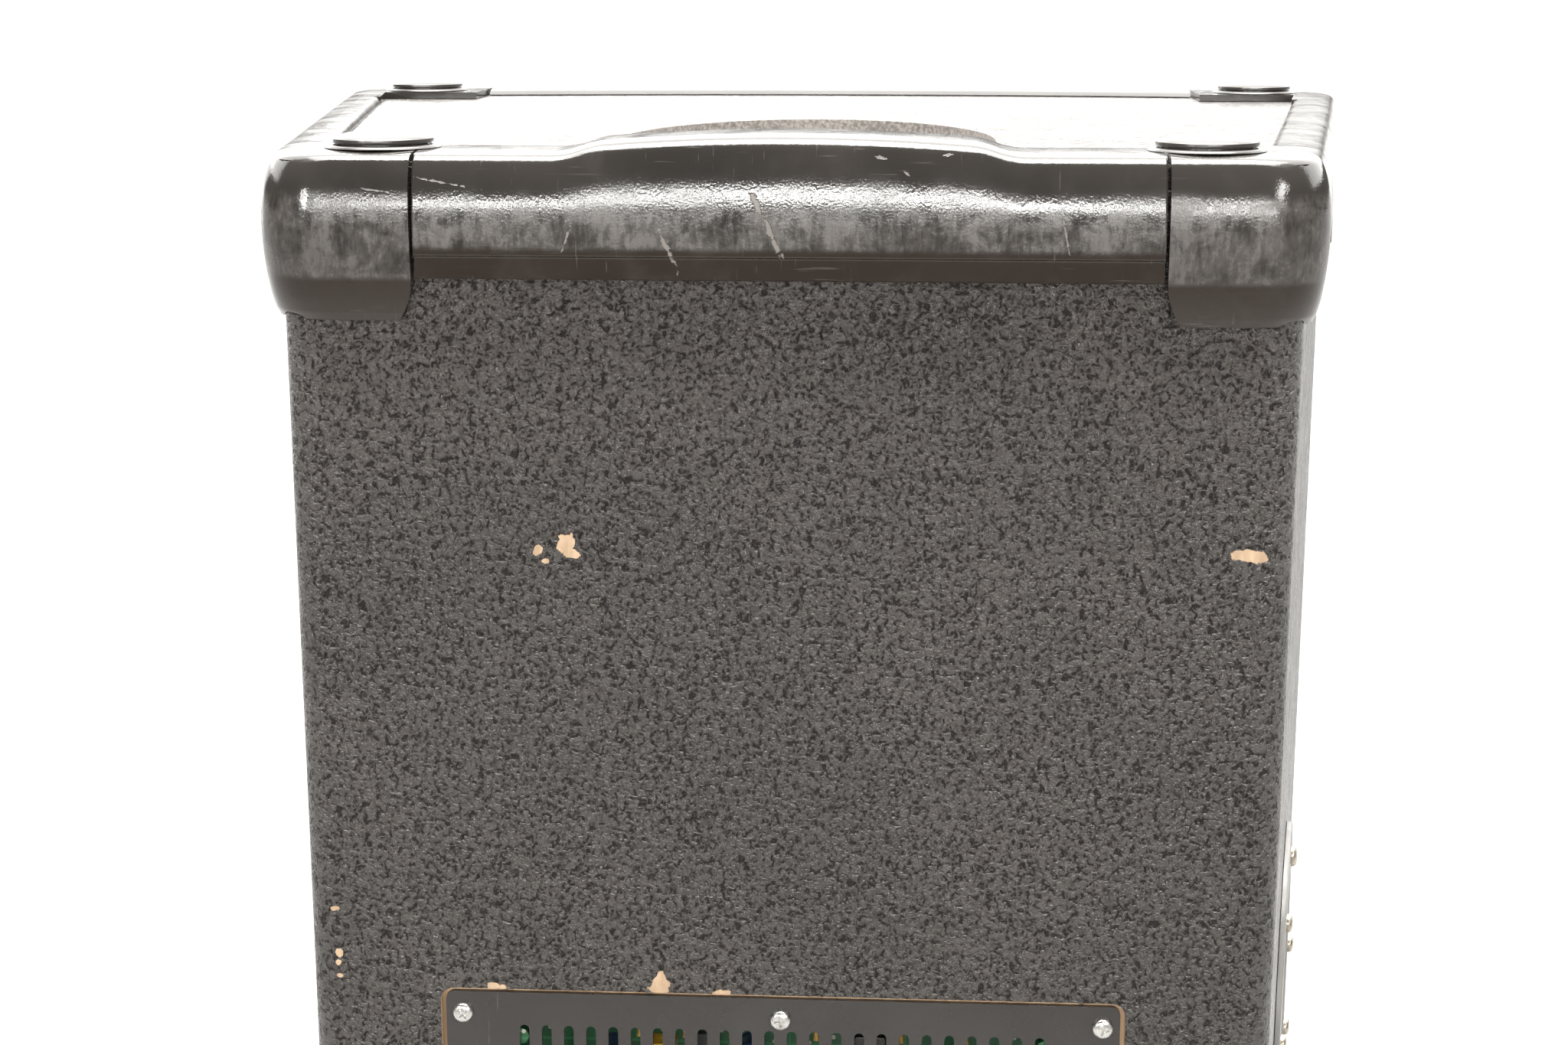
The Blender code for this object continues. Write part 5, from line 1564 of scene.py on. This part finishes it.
# ---------------------------------------------------------------- electronics
def block(width: float, height: float, depth: float, radius: float = 0.0006) -> bmesh.types.BMesh:
    """A box with softened edges that stands on z = 0."""
    outline = rounded_box(width, height, radius, 3)
    return eased(stack([outline, outline], [0.0, depth]), radius * 0.5, 2, 60.0)


def lettering(text: str, size: float) -> bmesh.types.BMesh:
    """A number as a thin raised mesh, centred on the origin.

    Args:
        text: the digits.
        size: height of a line in metres.

    Returns:
        The mesh.
    """
    curve = bpy.data.curves.new("lettering", "FONT")
    curve.body, curve.size, curve.extrude = text, size, 0.00004
    curve.align_x, curve.align_y = "CENTER", "CENTER"
    holder = bpy.data.objects.new("lettering", curve)
    bpy.context.scene.collection.objects.link(holder)
    shape = bpy.data.meshes.new_from_object(holder.evaluated_get(bpy.context.evaluated_depsgraph_get()))
    mesh = bmesh.new()
    mesh.from_mesh(shape)
    bpy.data.objects.remove(holder, do_unlink=True)
    bpy.data.curves.remove(curve)
    bpy.data.meshes.remove(shape)
    bmesh.ops.remove_doubles(mesh, verts=mesh.verts, dist=1e-6)
    return mesh


@dataclass
class Electronics:
    """Circuit board with its components, heatsink and transformer."""

    layout: Layout
    finishes: Finishes
    standoff: float = 0.0162
    row: float = 0.132

    def build(self) -> None:
        """Fits out the board that shows through the vent slots."""
        finish = self.finishes
        dress_node("amp_circuit_board", finish["board"], 0.0002)
        dress_node("amp_heatsink", finish["aluminium"], 0.0003)
        dress_node("power_transformer", finish["transformer"])
        self._fit("film_capacitor", block(0.0125, 0.019, 0.0105, 0.0012), [(-0.0475, 0.016)], "amber")
        films = [(0.034, 0.021), (0.087, -0.014)]
        self._fit("black_film_capacitors", block(0.0125, 0.019, 0.0105, 0.0012), films, "chip")
        cans = [
            (0.062, 0.018), (0.078, 0.010), (-0.066, 0.020), (-0.084, 0.014), (-0.012, 0.022),
            (0.006, -0.016),
        ]
        rim = [
            (0.0, 0.0), (0.0052, 0.0), (0.0052, 0.0012), (0.0048, 0.0018), (0.0052, 0.0024),
            (0.0052, 0.0110), (0.0046, 0.0118),
        ]
        self._fit("standing_capacitors", lathe([*rim, (0.0040, 0.0116), (0.0, 0.0116)], 28), cans, "sleeve")
        chips = [(-0.030, 0.018), (0.020, -0.006), (-0.070, -0.012), (0.052, -0.012)]
        self._fit("chip_cases", block(0.0100, 0.0180, 0.0036, 0.0004), chips, "chip")
        bead_line = [
            (0.0, -0.0034), (0.0012, -0.0032), (0.0010, -0.0018),
            (0.0010, 0.0018), (0.0012, 0.0032), (0.0, 0.0034),
        ]
        bead = smoothed(bead_line, 3)
        columns = (-0.100, -0.056, -0.038, -0.020, 0.000, 0.013, 0.046, 0.071, 0.100)
        spots = [(x, z) for x in columns for z in (0.028, 0.004)]
        lying = Matrix.Translation((0, 0, 0.0016)) @ Matrix.Rotation(math.pi / 2, 4, "X")
        self._fit("resistors", placed(lathe(bead, 14), lying), spots, "spider")
        leg = [(0.0, 0.0), (0.0004, 0.0), (0.0004, 0.0060), (0.0, 0.0062)]
        pins = [(-0.0445 + 0.0025 * i, -0.018) for i in range(10)]
        self._fit("header_pins", lathe(leg, 8), pins, "zinc")
        angles = [math.pi * i / 6 for i in range(12)]
        turns = [(0.0068 + 0.0026 * math.cos(t), 0.0030 + 0.0026 * math.sin(t)) for t in angles]
        self._fit("choke_windings", lathe(turns, 36, True), [(0.046, 0.008), (-0.090, -0.012)], "copper")

    def _fit(self, name: str, mesh: bmesh.types.BMesh, spots: Sequence[Point], finish: str) -> None:
        """Fits copies of a component to the board.

        Args:
            name: the piece's name.
            mesh: the component, standing on z = 0.
            spots: places on the board, from its middle.
            finish: the finish's name.
        """
        places = [self.layout.on_plate(x, self.row + z, -self.standoff) for x, z in spots]
        settle(name, repeated(mesh, places), [self.finishes[finish]])


@dataclass
class ControlPanel:
    """Knobs, push switch, sockets and their printed scales on the amplifier plate."""

    layout: Layout
    finishes: Finishes
    plate: AmplifierPlate
    knob_radius: float = 0.0085
    knob_height: float = 0.0085
    sweep: float = math.radians(150)

    def build(self) -> None:
        """Builds the controls and the sockets' inner parts."""
        for node, x in (("level_knob", self.plate.level_x), ("tone_knob", self.plate.tone_x)):
            self._knob(node, x)
            self._scale(node, x)
        self._button()
        self._lamp()
        self._sockets()
        self._mains()

    def _knob(self, node: str, x: float) -> None:
        """A fluted knob with a white pointer."""
        radius, top = self.knob_radius, self.knob_height - 0.0002
        place = self.layout.on_plate(x, self.plate.row_knobs)
        line = [
            (0.0030, -0.008, 0.0), (0.0030, 0.0006, 0.0), (radius - 0.0004, 0.0006, 0.0),
            (radius, 0.0010, 0.0),
            (radius, 0.0022, 0.0), (radius - 0.0003, 0.0026, 0.0), (radius * 0.84, 0.0040, 0.0),
            (radius * 0.82, 0.0044, 0.0005), (radius * 0.77, top - 0.0008, 0.0005),
            (radius * 0.74, top - 0.0002, 0.0002),
            (radius * 0.66, top, 0.0), (radius * 0.30, top - 0.0003, 0.0),
        ]
        rings = []
        for size, height, flute in line:
            turns = [2 * math.pi * i / 120 for i in range(120)]
            sizes = [size - flute * max(0.0, math.cos(20 * t)) for t in turns]
            rings.append([(r * math.cos(t), r * math.sin(t), height) for r, t in zip(sizes, turns)])
        settle(
            f"{node}_body", placed(loft(rings), place), [self.finishes["knob"]], node, (node,), 50.0,
        )
        pointer = block(0.0009, 0.0036, 0.0004, 0.0002)
        spot = place @ Matrix.Translation((0.0, 0.0036, top - 0.0003))
        settle(f"{node}_pointer", placed(pointer, spot), [self.finishes["print"]], node)

    def _scale(self, node: str, x: float) -> None:
        """Eleven ticks round a knob, numbered 0, 5 and 10."""
        middle = self.layout.on_plate(x, self.plate.row_knobs, 0.00002)
        ticks = []
        for i in range(11):
            turn = Matrix.Rotation(self.sweep - 2 * self.sweep * i / 10, 4, "Z")
            ticks.append(middle @ turn @ Matrix.Translation((0.0, 0.0112, 0.0)))
        prints = [repeated(block(0.0005, 0.0018, 0.00010, 0.0001), ticks)]
        for text, place in (("0", (-0.0092, -0.0122)), ("5", (0.0, 0.0150)), ("10", (0.0096, -0.0122))):
            prints.append(placed(lettering(text, 0.0036), middle @ Matrix.Translation((*place, 0.00005))))
        settle(f"{node}_scale", joined_meshes(prints), [self.finishes["print"]], even=False)

    def _button(self) -> None:
        """Push switch with a dished crown."""
        line = [
            (0.0, -0.008), (0.0040, -0.008), (0.0040, 0.0046), (0.0038, 0.0052), (0.0032, 0.0055),
            (0.0025, 0.0054),
        ]
        mesh = lathe([*line, (0.0012, 0.0051), (0.0, 0.0050)], 32)
        place = self.layout.on_plate(self.plate.button_x, self.plate.row_knobs)
        settle(
            "push_switch", placed(mesh, place), [self.finishes["knob"]], "contour_button",
            ("contour_button",),
        )

    def _lamp(self) -> None:
        """Power lamp in a plated bezel."""
        place = self.layout.on_plate(-0.030, self.plate.row_knobs, 0.00002)
        bezel = lathe(
            [(0.0022, 0.0), (0.0036, 0.0), (0.0035, 0.0008), (0.0028, 0.0012), (0.0022, 0.0010)], 32, True,
        )
        lens = lathe(smoothed([(0.0, 0.0), (0.0021, 0.0001), (0.0019, 0.0016), (0.0, 0.0024)], 5), 28)
        settle("lamp_bezel", placed(bezel, place), [self.finishes["zinc"]])
        settle("lamp_lens", placed(lens, place), [self.finishes["lens"]])

    def _sockets(self) -> None:
        """Insert and pins of the two signal sockets, and their flange screws."""
        plate, lay = self.plate, self.layout
        for node in ("input_socket", "link_socket"):
            dress_node(node, self.finishes["socket"], 0.0003)
        contacts = (0.0, math.pi, -math.pi / 2)
        holes = [circle(0.0013, 14, (0.0048 * math.cos(t), 0.0048 * math.sin(t))) for t in contacts]
        insert = eased(
            pierced(circle(0.0093, 40), [*holes, circle(0.0027, 20)], -0.0130, -0.0016), 0.0002, 2, 50.0,
        )
        place = lay.on_plate(plate.input_x, plate.row_sockets)
        settle("input_insert", placed(insert, place), [self.finishes["chip"]])
        pin = lathe(
            [(0.0, -0.0154), (0.0012, -0.0154), (0.0012, -0.0044), (0.0008, -0.0037), (0.0, -0.0035)], 16,
        )
        spots = [(0.0048, 0.0), (-0.0048, 0.0), (0.0, 0.0048)]
        places = [lay.on_plate(plate.link_x + x, plate.row_sockets + z) for x, z in spots]
        settle("link_pins", repeated(pin, places), [self.finishes["contact"]])
        corners = [
            (x + dx, dz) for x in (plate.input_x, plate.link_x) for dx,
            dz in ((0.0100, 0.0125), (-0.0100, -0.0125))
        ]
        places = [lay.on_plate(x, plate.row_sockets + z, 0.0026) for x, z in corners]
        screw = Screw(0.0018, 0.0010, 0.0024, Drive.FLAT)
        settle("socket_screws", screw.fitted(places), [self.finishes["black_screw"]])

    def _mains(self) -> None:
        """Inlet pins, inlet screws and the marks on the power rocker."""
        plate, lay = self.plate, self.layout
        dress_node("mains_inlet", self.finishes["socket"], 0.0003)
        dress_node("switch_housing", self.finishes["socket"], 0.0003)
        dress_node("switch_rocker", self.finishes["rocker"], 0.0003)
        spots = [(-0.0070, -0.0015), (0.0, 0.0025), (0.0070, -0.0015)]
        places = [lay.on_plate(plate.inlet_x + x, plate.row_mains + z, -0.0154) for x, z in spots]
        settle(
            "inlet_pins", repeated(block(0.0020, 0.0040, 0.0110, 0.0005), places), [self.finishes["zinc"]],
        )
        places = [lay.on_plate(plate.inlet_x + x, plate.row_mains, 0.0026) for x in (-0.0205, 0.0205)]
        settle("inlet_screws", Screw(0.0022, 0.0012, 0.0028).fitted(places), [self.finishes["black_screw"]])
        tip = lay.on_plate(plate.switch_x, plate.row_mains) @ Matrix.Rotation(-math.radians(9), 4, "Y")
        bar = placed(
            block(0.0005, 0.0034, 0.00010, 0.0001), tip @ Matrix.Translation((-0.0056, 0.0, 0.00301)),
        )
        ring = lathe([(0.0010, 0.0), (0.0014, 0.0), (0.0014, 0.0001), (0.0010, 0.0001)], 28, True)
        ring = placed(ring, tip @ Matrix.Translation((0.0056, 0.0, 0.00301)))
        settle(
            "rocker_marks", joined_meshes([bar, ring]), [self.finishes["print"]], "power_rocker",
            even=False,
        )


# ---------------------------------------------------------------- fittings on the sides
@dataclass
class SideHandles:
    """Stamped steel plates with a deep cup, screwed to both sides; the cup's inside carries painted shade."""

    layout: Layout
    finishes: Finishes
    size: Point = (0.140, 0.200)
    opening: Point = (0.092, 0.150)
    sheet: float = 0.0025
    depth: float = 0.058
    taper: float = 0.008
    inset: float = 0.200

    @staticmethod
    def _stadium(size: Point, inset: float) -> list[Point]:
        """An upright outline with fully rounded ends."""
        width, height = size[0] - 2 * inset, size[1] - 2 * inset
        return rounded_box(width, height, width / 2 - 1e-5, 16)

    def build(self) -> None:
        """Presses one handle and screws it to each side."""
        face, back, wall = self.sheet + self.layout.gap, self.layout.gap, 0.0025
        floor = -self.depth + wall
        section = [
            (self.opening, self.taper + 0.012, floor), (self.opening, self.taper + 0.006, floor + 0.0012),
            (self.opening, self.taper + 0.0015, floor + 0.0050), (self.opening, self.taper, floor + 0.0110),
            (self.opening, 0.0010, -0.0060), (self.opening, 0.0003, 0.0), (self.opening, 0.0, face - 0.0012),
            (self.opening, -0.0004, face - 0.0004), (self.opening, -0.0012, face),
            (self.opening, -0.0042, face),
            (self.opening, -0.0050, face - 0.0004), (self.opening, -0.0058, face - 0.0004),
            (self.opening, -0.0066, face),
            (self.size, 0.0014, face), (self.size, 0.0005, face - 0.0003), (self.size, 0.0, face - 0.0011),
            (self.size, 0.0, back), (self.opening, -wall, back),
            (self.opening, self.taper - wall, floor + 0.0080),
            (self.opening, self.taper + 0.004, -self.depth),
        ]
        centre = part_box("side_handle_left")[0].z + self.size[1] / 2
        spots = [(0.0, 0.088), (0.0, -0.088)]
        spots += [(x, z) for x in (-0.0415, 0.0415) for z in (-0.0715, 0.0715)]
        spots += [(x, z) for x in (-0.058, 0.058) for z in (-0.0215, 0.0215)]
        for side in Side:
            mesh = stack(
                [self._stadium(size, inset) for size, inset, _ in section],
                [height for *_, height in section],
            )
            # painted shade: faces inside the cup take the dark horn moulding instead of the handle coat,
            # standing in for the shade in the deep cup
            for item in mesh.faces:
                item.material_index = int(item.calc_center_median().z < -0.0002)
            place = self.layout.on_side(side, self.inset, centre)
            node = f"side_handle_{side.name.lower()}"
            finishes = [self.finishes["handle"], self.finishes["horn"]]
            settle(f"{node}_pressing", placed(mesh, place), finishes, replaces=(node,))
            places = [place @ Matrix.Translation((x, z, face)) for x, z in spots]
            settle(f"{node}_screws", Screw(0.0042, 0.0026).fitted(places), [self.finishes["old_brass"]])


# ---------------------------------------------------------------- front
@dataclass
class Front:
    """Perforated steel grille in its channels, and the drivers on the baffle behind it."""

    layout: Layout
    finishes: Finishes
    pitch: float = 0.0070
    hole: float = 0.0025
    sheet: float = 0.0015
    outset: float = 0.0040
    woofer_z: float = 0.236
    horn_z: float = 0.622

    def build(self) -> None:
        """Builds the grille, and finishes what sits behind it."""
        self._grille()
        self._fasteners()
        nodes = {
            "front_baffle": "wash", "shelf_brace": "wash", "woofer_frame": "enamel",
            "woofer_magnet": "magnet",
            "woofer_spider": "spider", "woofer_surround": "surround", "woofer_cone": "cone",
            "dust_cap": "cone",
            "horn": "horn", "compression_driver": "magnet", "port_tube_left": "horn",
            "port_tube_right": "horn",
            "pole_socket": "enamel",
        }
        for node, finish in nodes.items():
            dress_node(node, self.finishes[finish])
        for side in Side:
            dress_node(f"grille_channel_{side.name.lower()}", self.finishes["channel"], 0.0004)

    def _cell(self) -> bmesh.types.BMesh:
        """One hexagon of sheet round a hole."""
        mesh = bmesh.new()
        reach = self.pitch / math.sqrt(3)
        corners = [math.pi / 6 + math.pi / 3 * i for i in range(6)]
        loops = [[(reach * math.cos(t), reach * math.sin(t)) for t in corners], circle(self.hole, 8)]
        edges = []
        for points in loops:
            row = [mesh.verts.new((x, 0.0, z)) for x, z in points]
            edges += [mesh.edges.new((row[i - 1], row[i])) for i in range(len(row))]
        bmesh.ops.triangle_fill(mesh, edges=edges, use_beauty=True, use_dissolve=False)
        return mesh

    def _grille(self) -> None:
        """The perforated sheet, in two halves that meet in the middle."""
        low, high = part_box("front_grille")
        rise = self.pitch * math.sqrt(3) / 2
        columns = int((high.x - low.x) / self.pitch) + 3
        rows = int((high.z - low.z) / (2 * rise)) + 2
        pair = repeated(self._cell(), [Matrix.Identity(4), Matrix.Translation((self.pitch / 2, 0.0, rise))])
        source = as_object("sheet", pair)
        for axis, count, step in ((0, columns, self.pitch), (2, rows, 2 * rise)):
            copies = source.modifiers.new("copies", "ARRAY")
            copies.use_relative_offset, copies.use_constant_offset = False, True
            copies.constant_offset_displace = [step if i == axis else 0.0 for i in range(3)]
            copies.count = count
        whole = bpy.data.meshes.new_from_object(source.evaluated_get(bpy.context.evaluated_depsgraph_get()))
        pattern = source.data
        bpy.data.objects.remove(source, do_unlink=True)
        bpy.data.meshes.remove(pattern)
        for name, left, right in (("grille_half_left", low.x, 0.0), ("grille_half_right", 0.0, high.x)):
            mesh = bmesh.new()
            mesh.from_mesh(whole)
            bmesh.ops.translate(mesh, verts=mesh.verts, vec=(low.x - self.pitch, 0.0, low.z - rise))
            bmesh.ops.remove_doubles(mesh, verts=mesh.verts, dist=1e-5)
            for spot, normal in (
                ((left, 0, 0), (-1, 0, 0)), ((right, 0, 0), (1, 0, 0)), (low, (0, 0, -1)), (high, (0, 0, 1)),
            ):
                geometry = mesh.verts[:] + mesh.edges[:] + mesh.faces[:]
                bmesh.ops.bisect_plane(
                    mesh, geom=geometry, plane_co=spot, plane_no=normal, clear_outer=True, dist=1e-6,
                )
            for vertex in mesh.verts:
                vertex.co.y = self.layout.curve_y(vertex.co.x, self.outset)
            bmesh.ops.recalc_face_normals(mesh, faces=mesh.faces)
            if sum(item.normal.y for item in mesh.faces) > 0:
                bmesh.ops.reverse_faces(mesh, faces=mesh.faces)
            bmesh.ops.solidify(mesh, geom=mesh.faces[:], thickness=-self.sheet)
            bmesh.ops.recalc_face_normals(mesh, faces=mesh.faces)
            settle(
                name, mesh, [self.finishes["grille"]], replaces=("front_grille",), crease=50.0,
                even=False,
            )
        bpy.data.meshes.remove(whole)

    def _fasteners(self) -> None:
        """Bolts of the woofer and screws of the horn and the channels."""
        lay = self.layout
        turns = [2 * math.pi * (i + 0.5) / 8 for i in range(8)]
        ring = [(0.1865 * math.cos(t), self.woofer_z + 0.1865 * math.sin(t), 0.0063) for t in turns]
        flange = [
            (x, self.horn_z + z, 0.0053) for x in (-0.166, -0.055, 0.055, 0.166) for z in (-0.070, 0.070)
        ]
        places = [lay.on_baffle(x, z, lift) for x, z, lift in ring + flange]
        settle("baffle_screws", Screw(0.0045, 0.0028).fitted(places), [self.finishes["black_screw"]])
        corner = lay.front_corner(-0.0036, 0.0072)
        heights = [0.075 + 0.150 * i for i in range(5)]
        places = []
        for side in Side:
            for z in heights:
                turn = Matrix.Rotation(side.value * math.asin(corner[0] / lay.front_radius), 4, "Z")
                places.append(
                    Matrix.Translation((side.value * corner[0], corner[1], z)) @ turn @ FACING_FRONT,
                )
        settle(
            "channel_screws", Screw(0.0024, 0.0010, 0.0030, Drive.FLAT).fitted(places),
            [self.finishes["black_screw"]],
        )


# ---------------------------------------------------------------- studio
@dataclass(frozen=True)
class Lamp:
    """A rectangular area light.

    Attributes:
        name: its name.
        place: where it hangs.
        target: the point it faces.
        size: its width and height.
        power: its output in watts.
        spread: the angle that it fans out over.
        tint: its colour.
    """

    name: str
    place: tuple[float, float, float]
    target: tuple[float, float, float]
    size: Point
    power: float
    spread: float = math.radians(90)
    tint: tuple[float, float, float] = (1.0, 0.985, 0.96)

    def hang(self) -> None:
        """Hangs the light in the scene."""
        data = bpy.data.lights.new(self.name, "AREA")
        data.shape, data.size, data.size_y = "RECTANGLE", self.size[0], self.size[1]
        data.energy, data.color, data.spread = self.power, self.tint, self.spread
        lamp = bpy.data.objects.new(self.name, data)
        lamp.location = self.place
        lamp.rotation_mode = "QUATERNION"
        lamp.rotation_quaternion = (Vector(self.target) - Vector(self.place)).to_track_quat("-Z", "Z")
        bpy.context.scene.collection.objects.link(lamp)


LAMPS = (
    Lamp("canopy", (0.0, -55.0, 12.0), (0.0, -55.0, 0.0), (80.0, 103.0), 120000.0, math.radians(180)),
    Lamp("window", (2.2, -3.4, 1.9), (0.0, 0.0, 0.75), (3.4, 2.2), 60.0, math.radians(180)),
    Lamp("overhead", (0.0, -0.02, 1.85), (0.0, -0.02, 0.7), (1.5, 1.10), 26.0),
    Lamp("ceiling", (0.0, -1.0, 3.2), (0.0, -1.0, 0.7), (6.0, 4.0), 90.0),
    Lamp("strip", (0.0, 3.3, 1.06), (0.0, 0.24, 0.74), (3.4, 0.12), 24.0),
    Lamp("side", (-1.9, 2.5, 1.9), (0.0, 0.24, 0.60), (0.5, 1.4), 11.0),
    Lamp("pane", (1.7, 2.4, 1.15), (0.0, 0.24, 0.72), (0.30, 0.50), 6.0),
)


@dataclass
class Studio:
    """Camera, floor and soft light."""

    finishes: Finishes
    position: tuple[float, float, float] = (-0.0523, 1.1082, 0.8198)
    direction: tuple[float, float, float] = (0.0598, -0.9730, -0.2228)
    lens: float = 56.3
    sensor_width: float = 36.0
    floor_reach: float = 150.0
    air_tint: tuple[float, float, float, float] = (1.0, 0.99, 0.97, 1.0)
    air_strength: float = 0.15

    def build_camera(self) -> None:
        """Sets up the camera behind the cabinet, a little above it."""
        data = bpy.data.cameras.new("camera")
        data.lens, data.sensor_width = self.lens, self.sensor_width
        data.clip_start, data.clip_end = 0.01, 100.0
        camera = bpy.data.objects.new("camera", data)
        camera.location = self.position
        camera.rotation_mode = "QUATERNION"
        camera.rotation_quaternion = Vector(self.direction).to_track_quat("-Z", "Y")
        bpy.context.scene.collection.objects.link(camera)
        bpy.context.scene.camera = camera

    def build_stage(self) -> None:
        """Lays the floor and hangs the lights."""
        mesh = bmesh.new()
        bmesh.ops.create_grid(mesh, x_segments=24, y_segments=24, size=self.floor_reach)
        floor = as_object("floor", mesh)
        floor.data.materials.append(self.finishes["floor"])
        world = bpy.data.worlds.new("studio")
        bpy.context.scene.world = world
        world.use_nodes = True
        background = world.node_tree.nodes["Background"]
        background.inputs["Color"].default_value = self.air_tint
        background.inputs["Strength"].default_value = self.air_strength
        for lamp in LAMPS:
            lamp.hang()
        bpy.context.scene.view_settings.view_transform = "Standard"


def main() -> None:
    """Builds the cabinet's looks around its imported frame."""
    logging.basicConfig(level=logging.INFO, format="%(message)s")
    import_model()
    layout = Layout.measure()
    finishes = make_finishes(layout)
    studio = Studio(finishes)
    studio.build_camera()
    WoodenBox(layout, finishes).build()
    for level in Level:
        EndFrame(layout, finishes, level).build()
    Feet(layout, finishes).build()
    plate = AmplifierPlate(layout, finishes)
    plate.build()
    ControlPanel(layout, finishes, plate).build()
    Electronics(layout, finishes).build()
    SideHandles(layout, finishes).build()
    Front(layout, finishes).build()
    studio.build_stage()


if __name__ == "__main__":
    main()
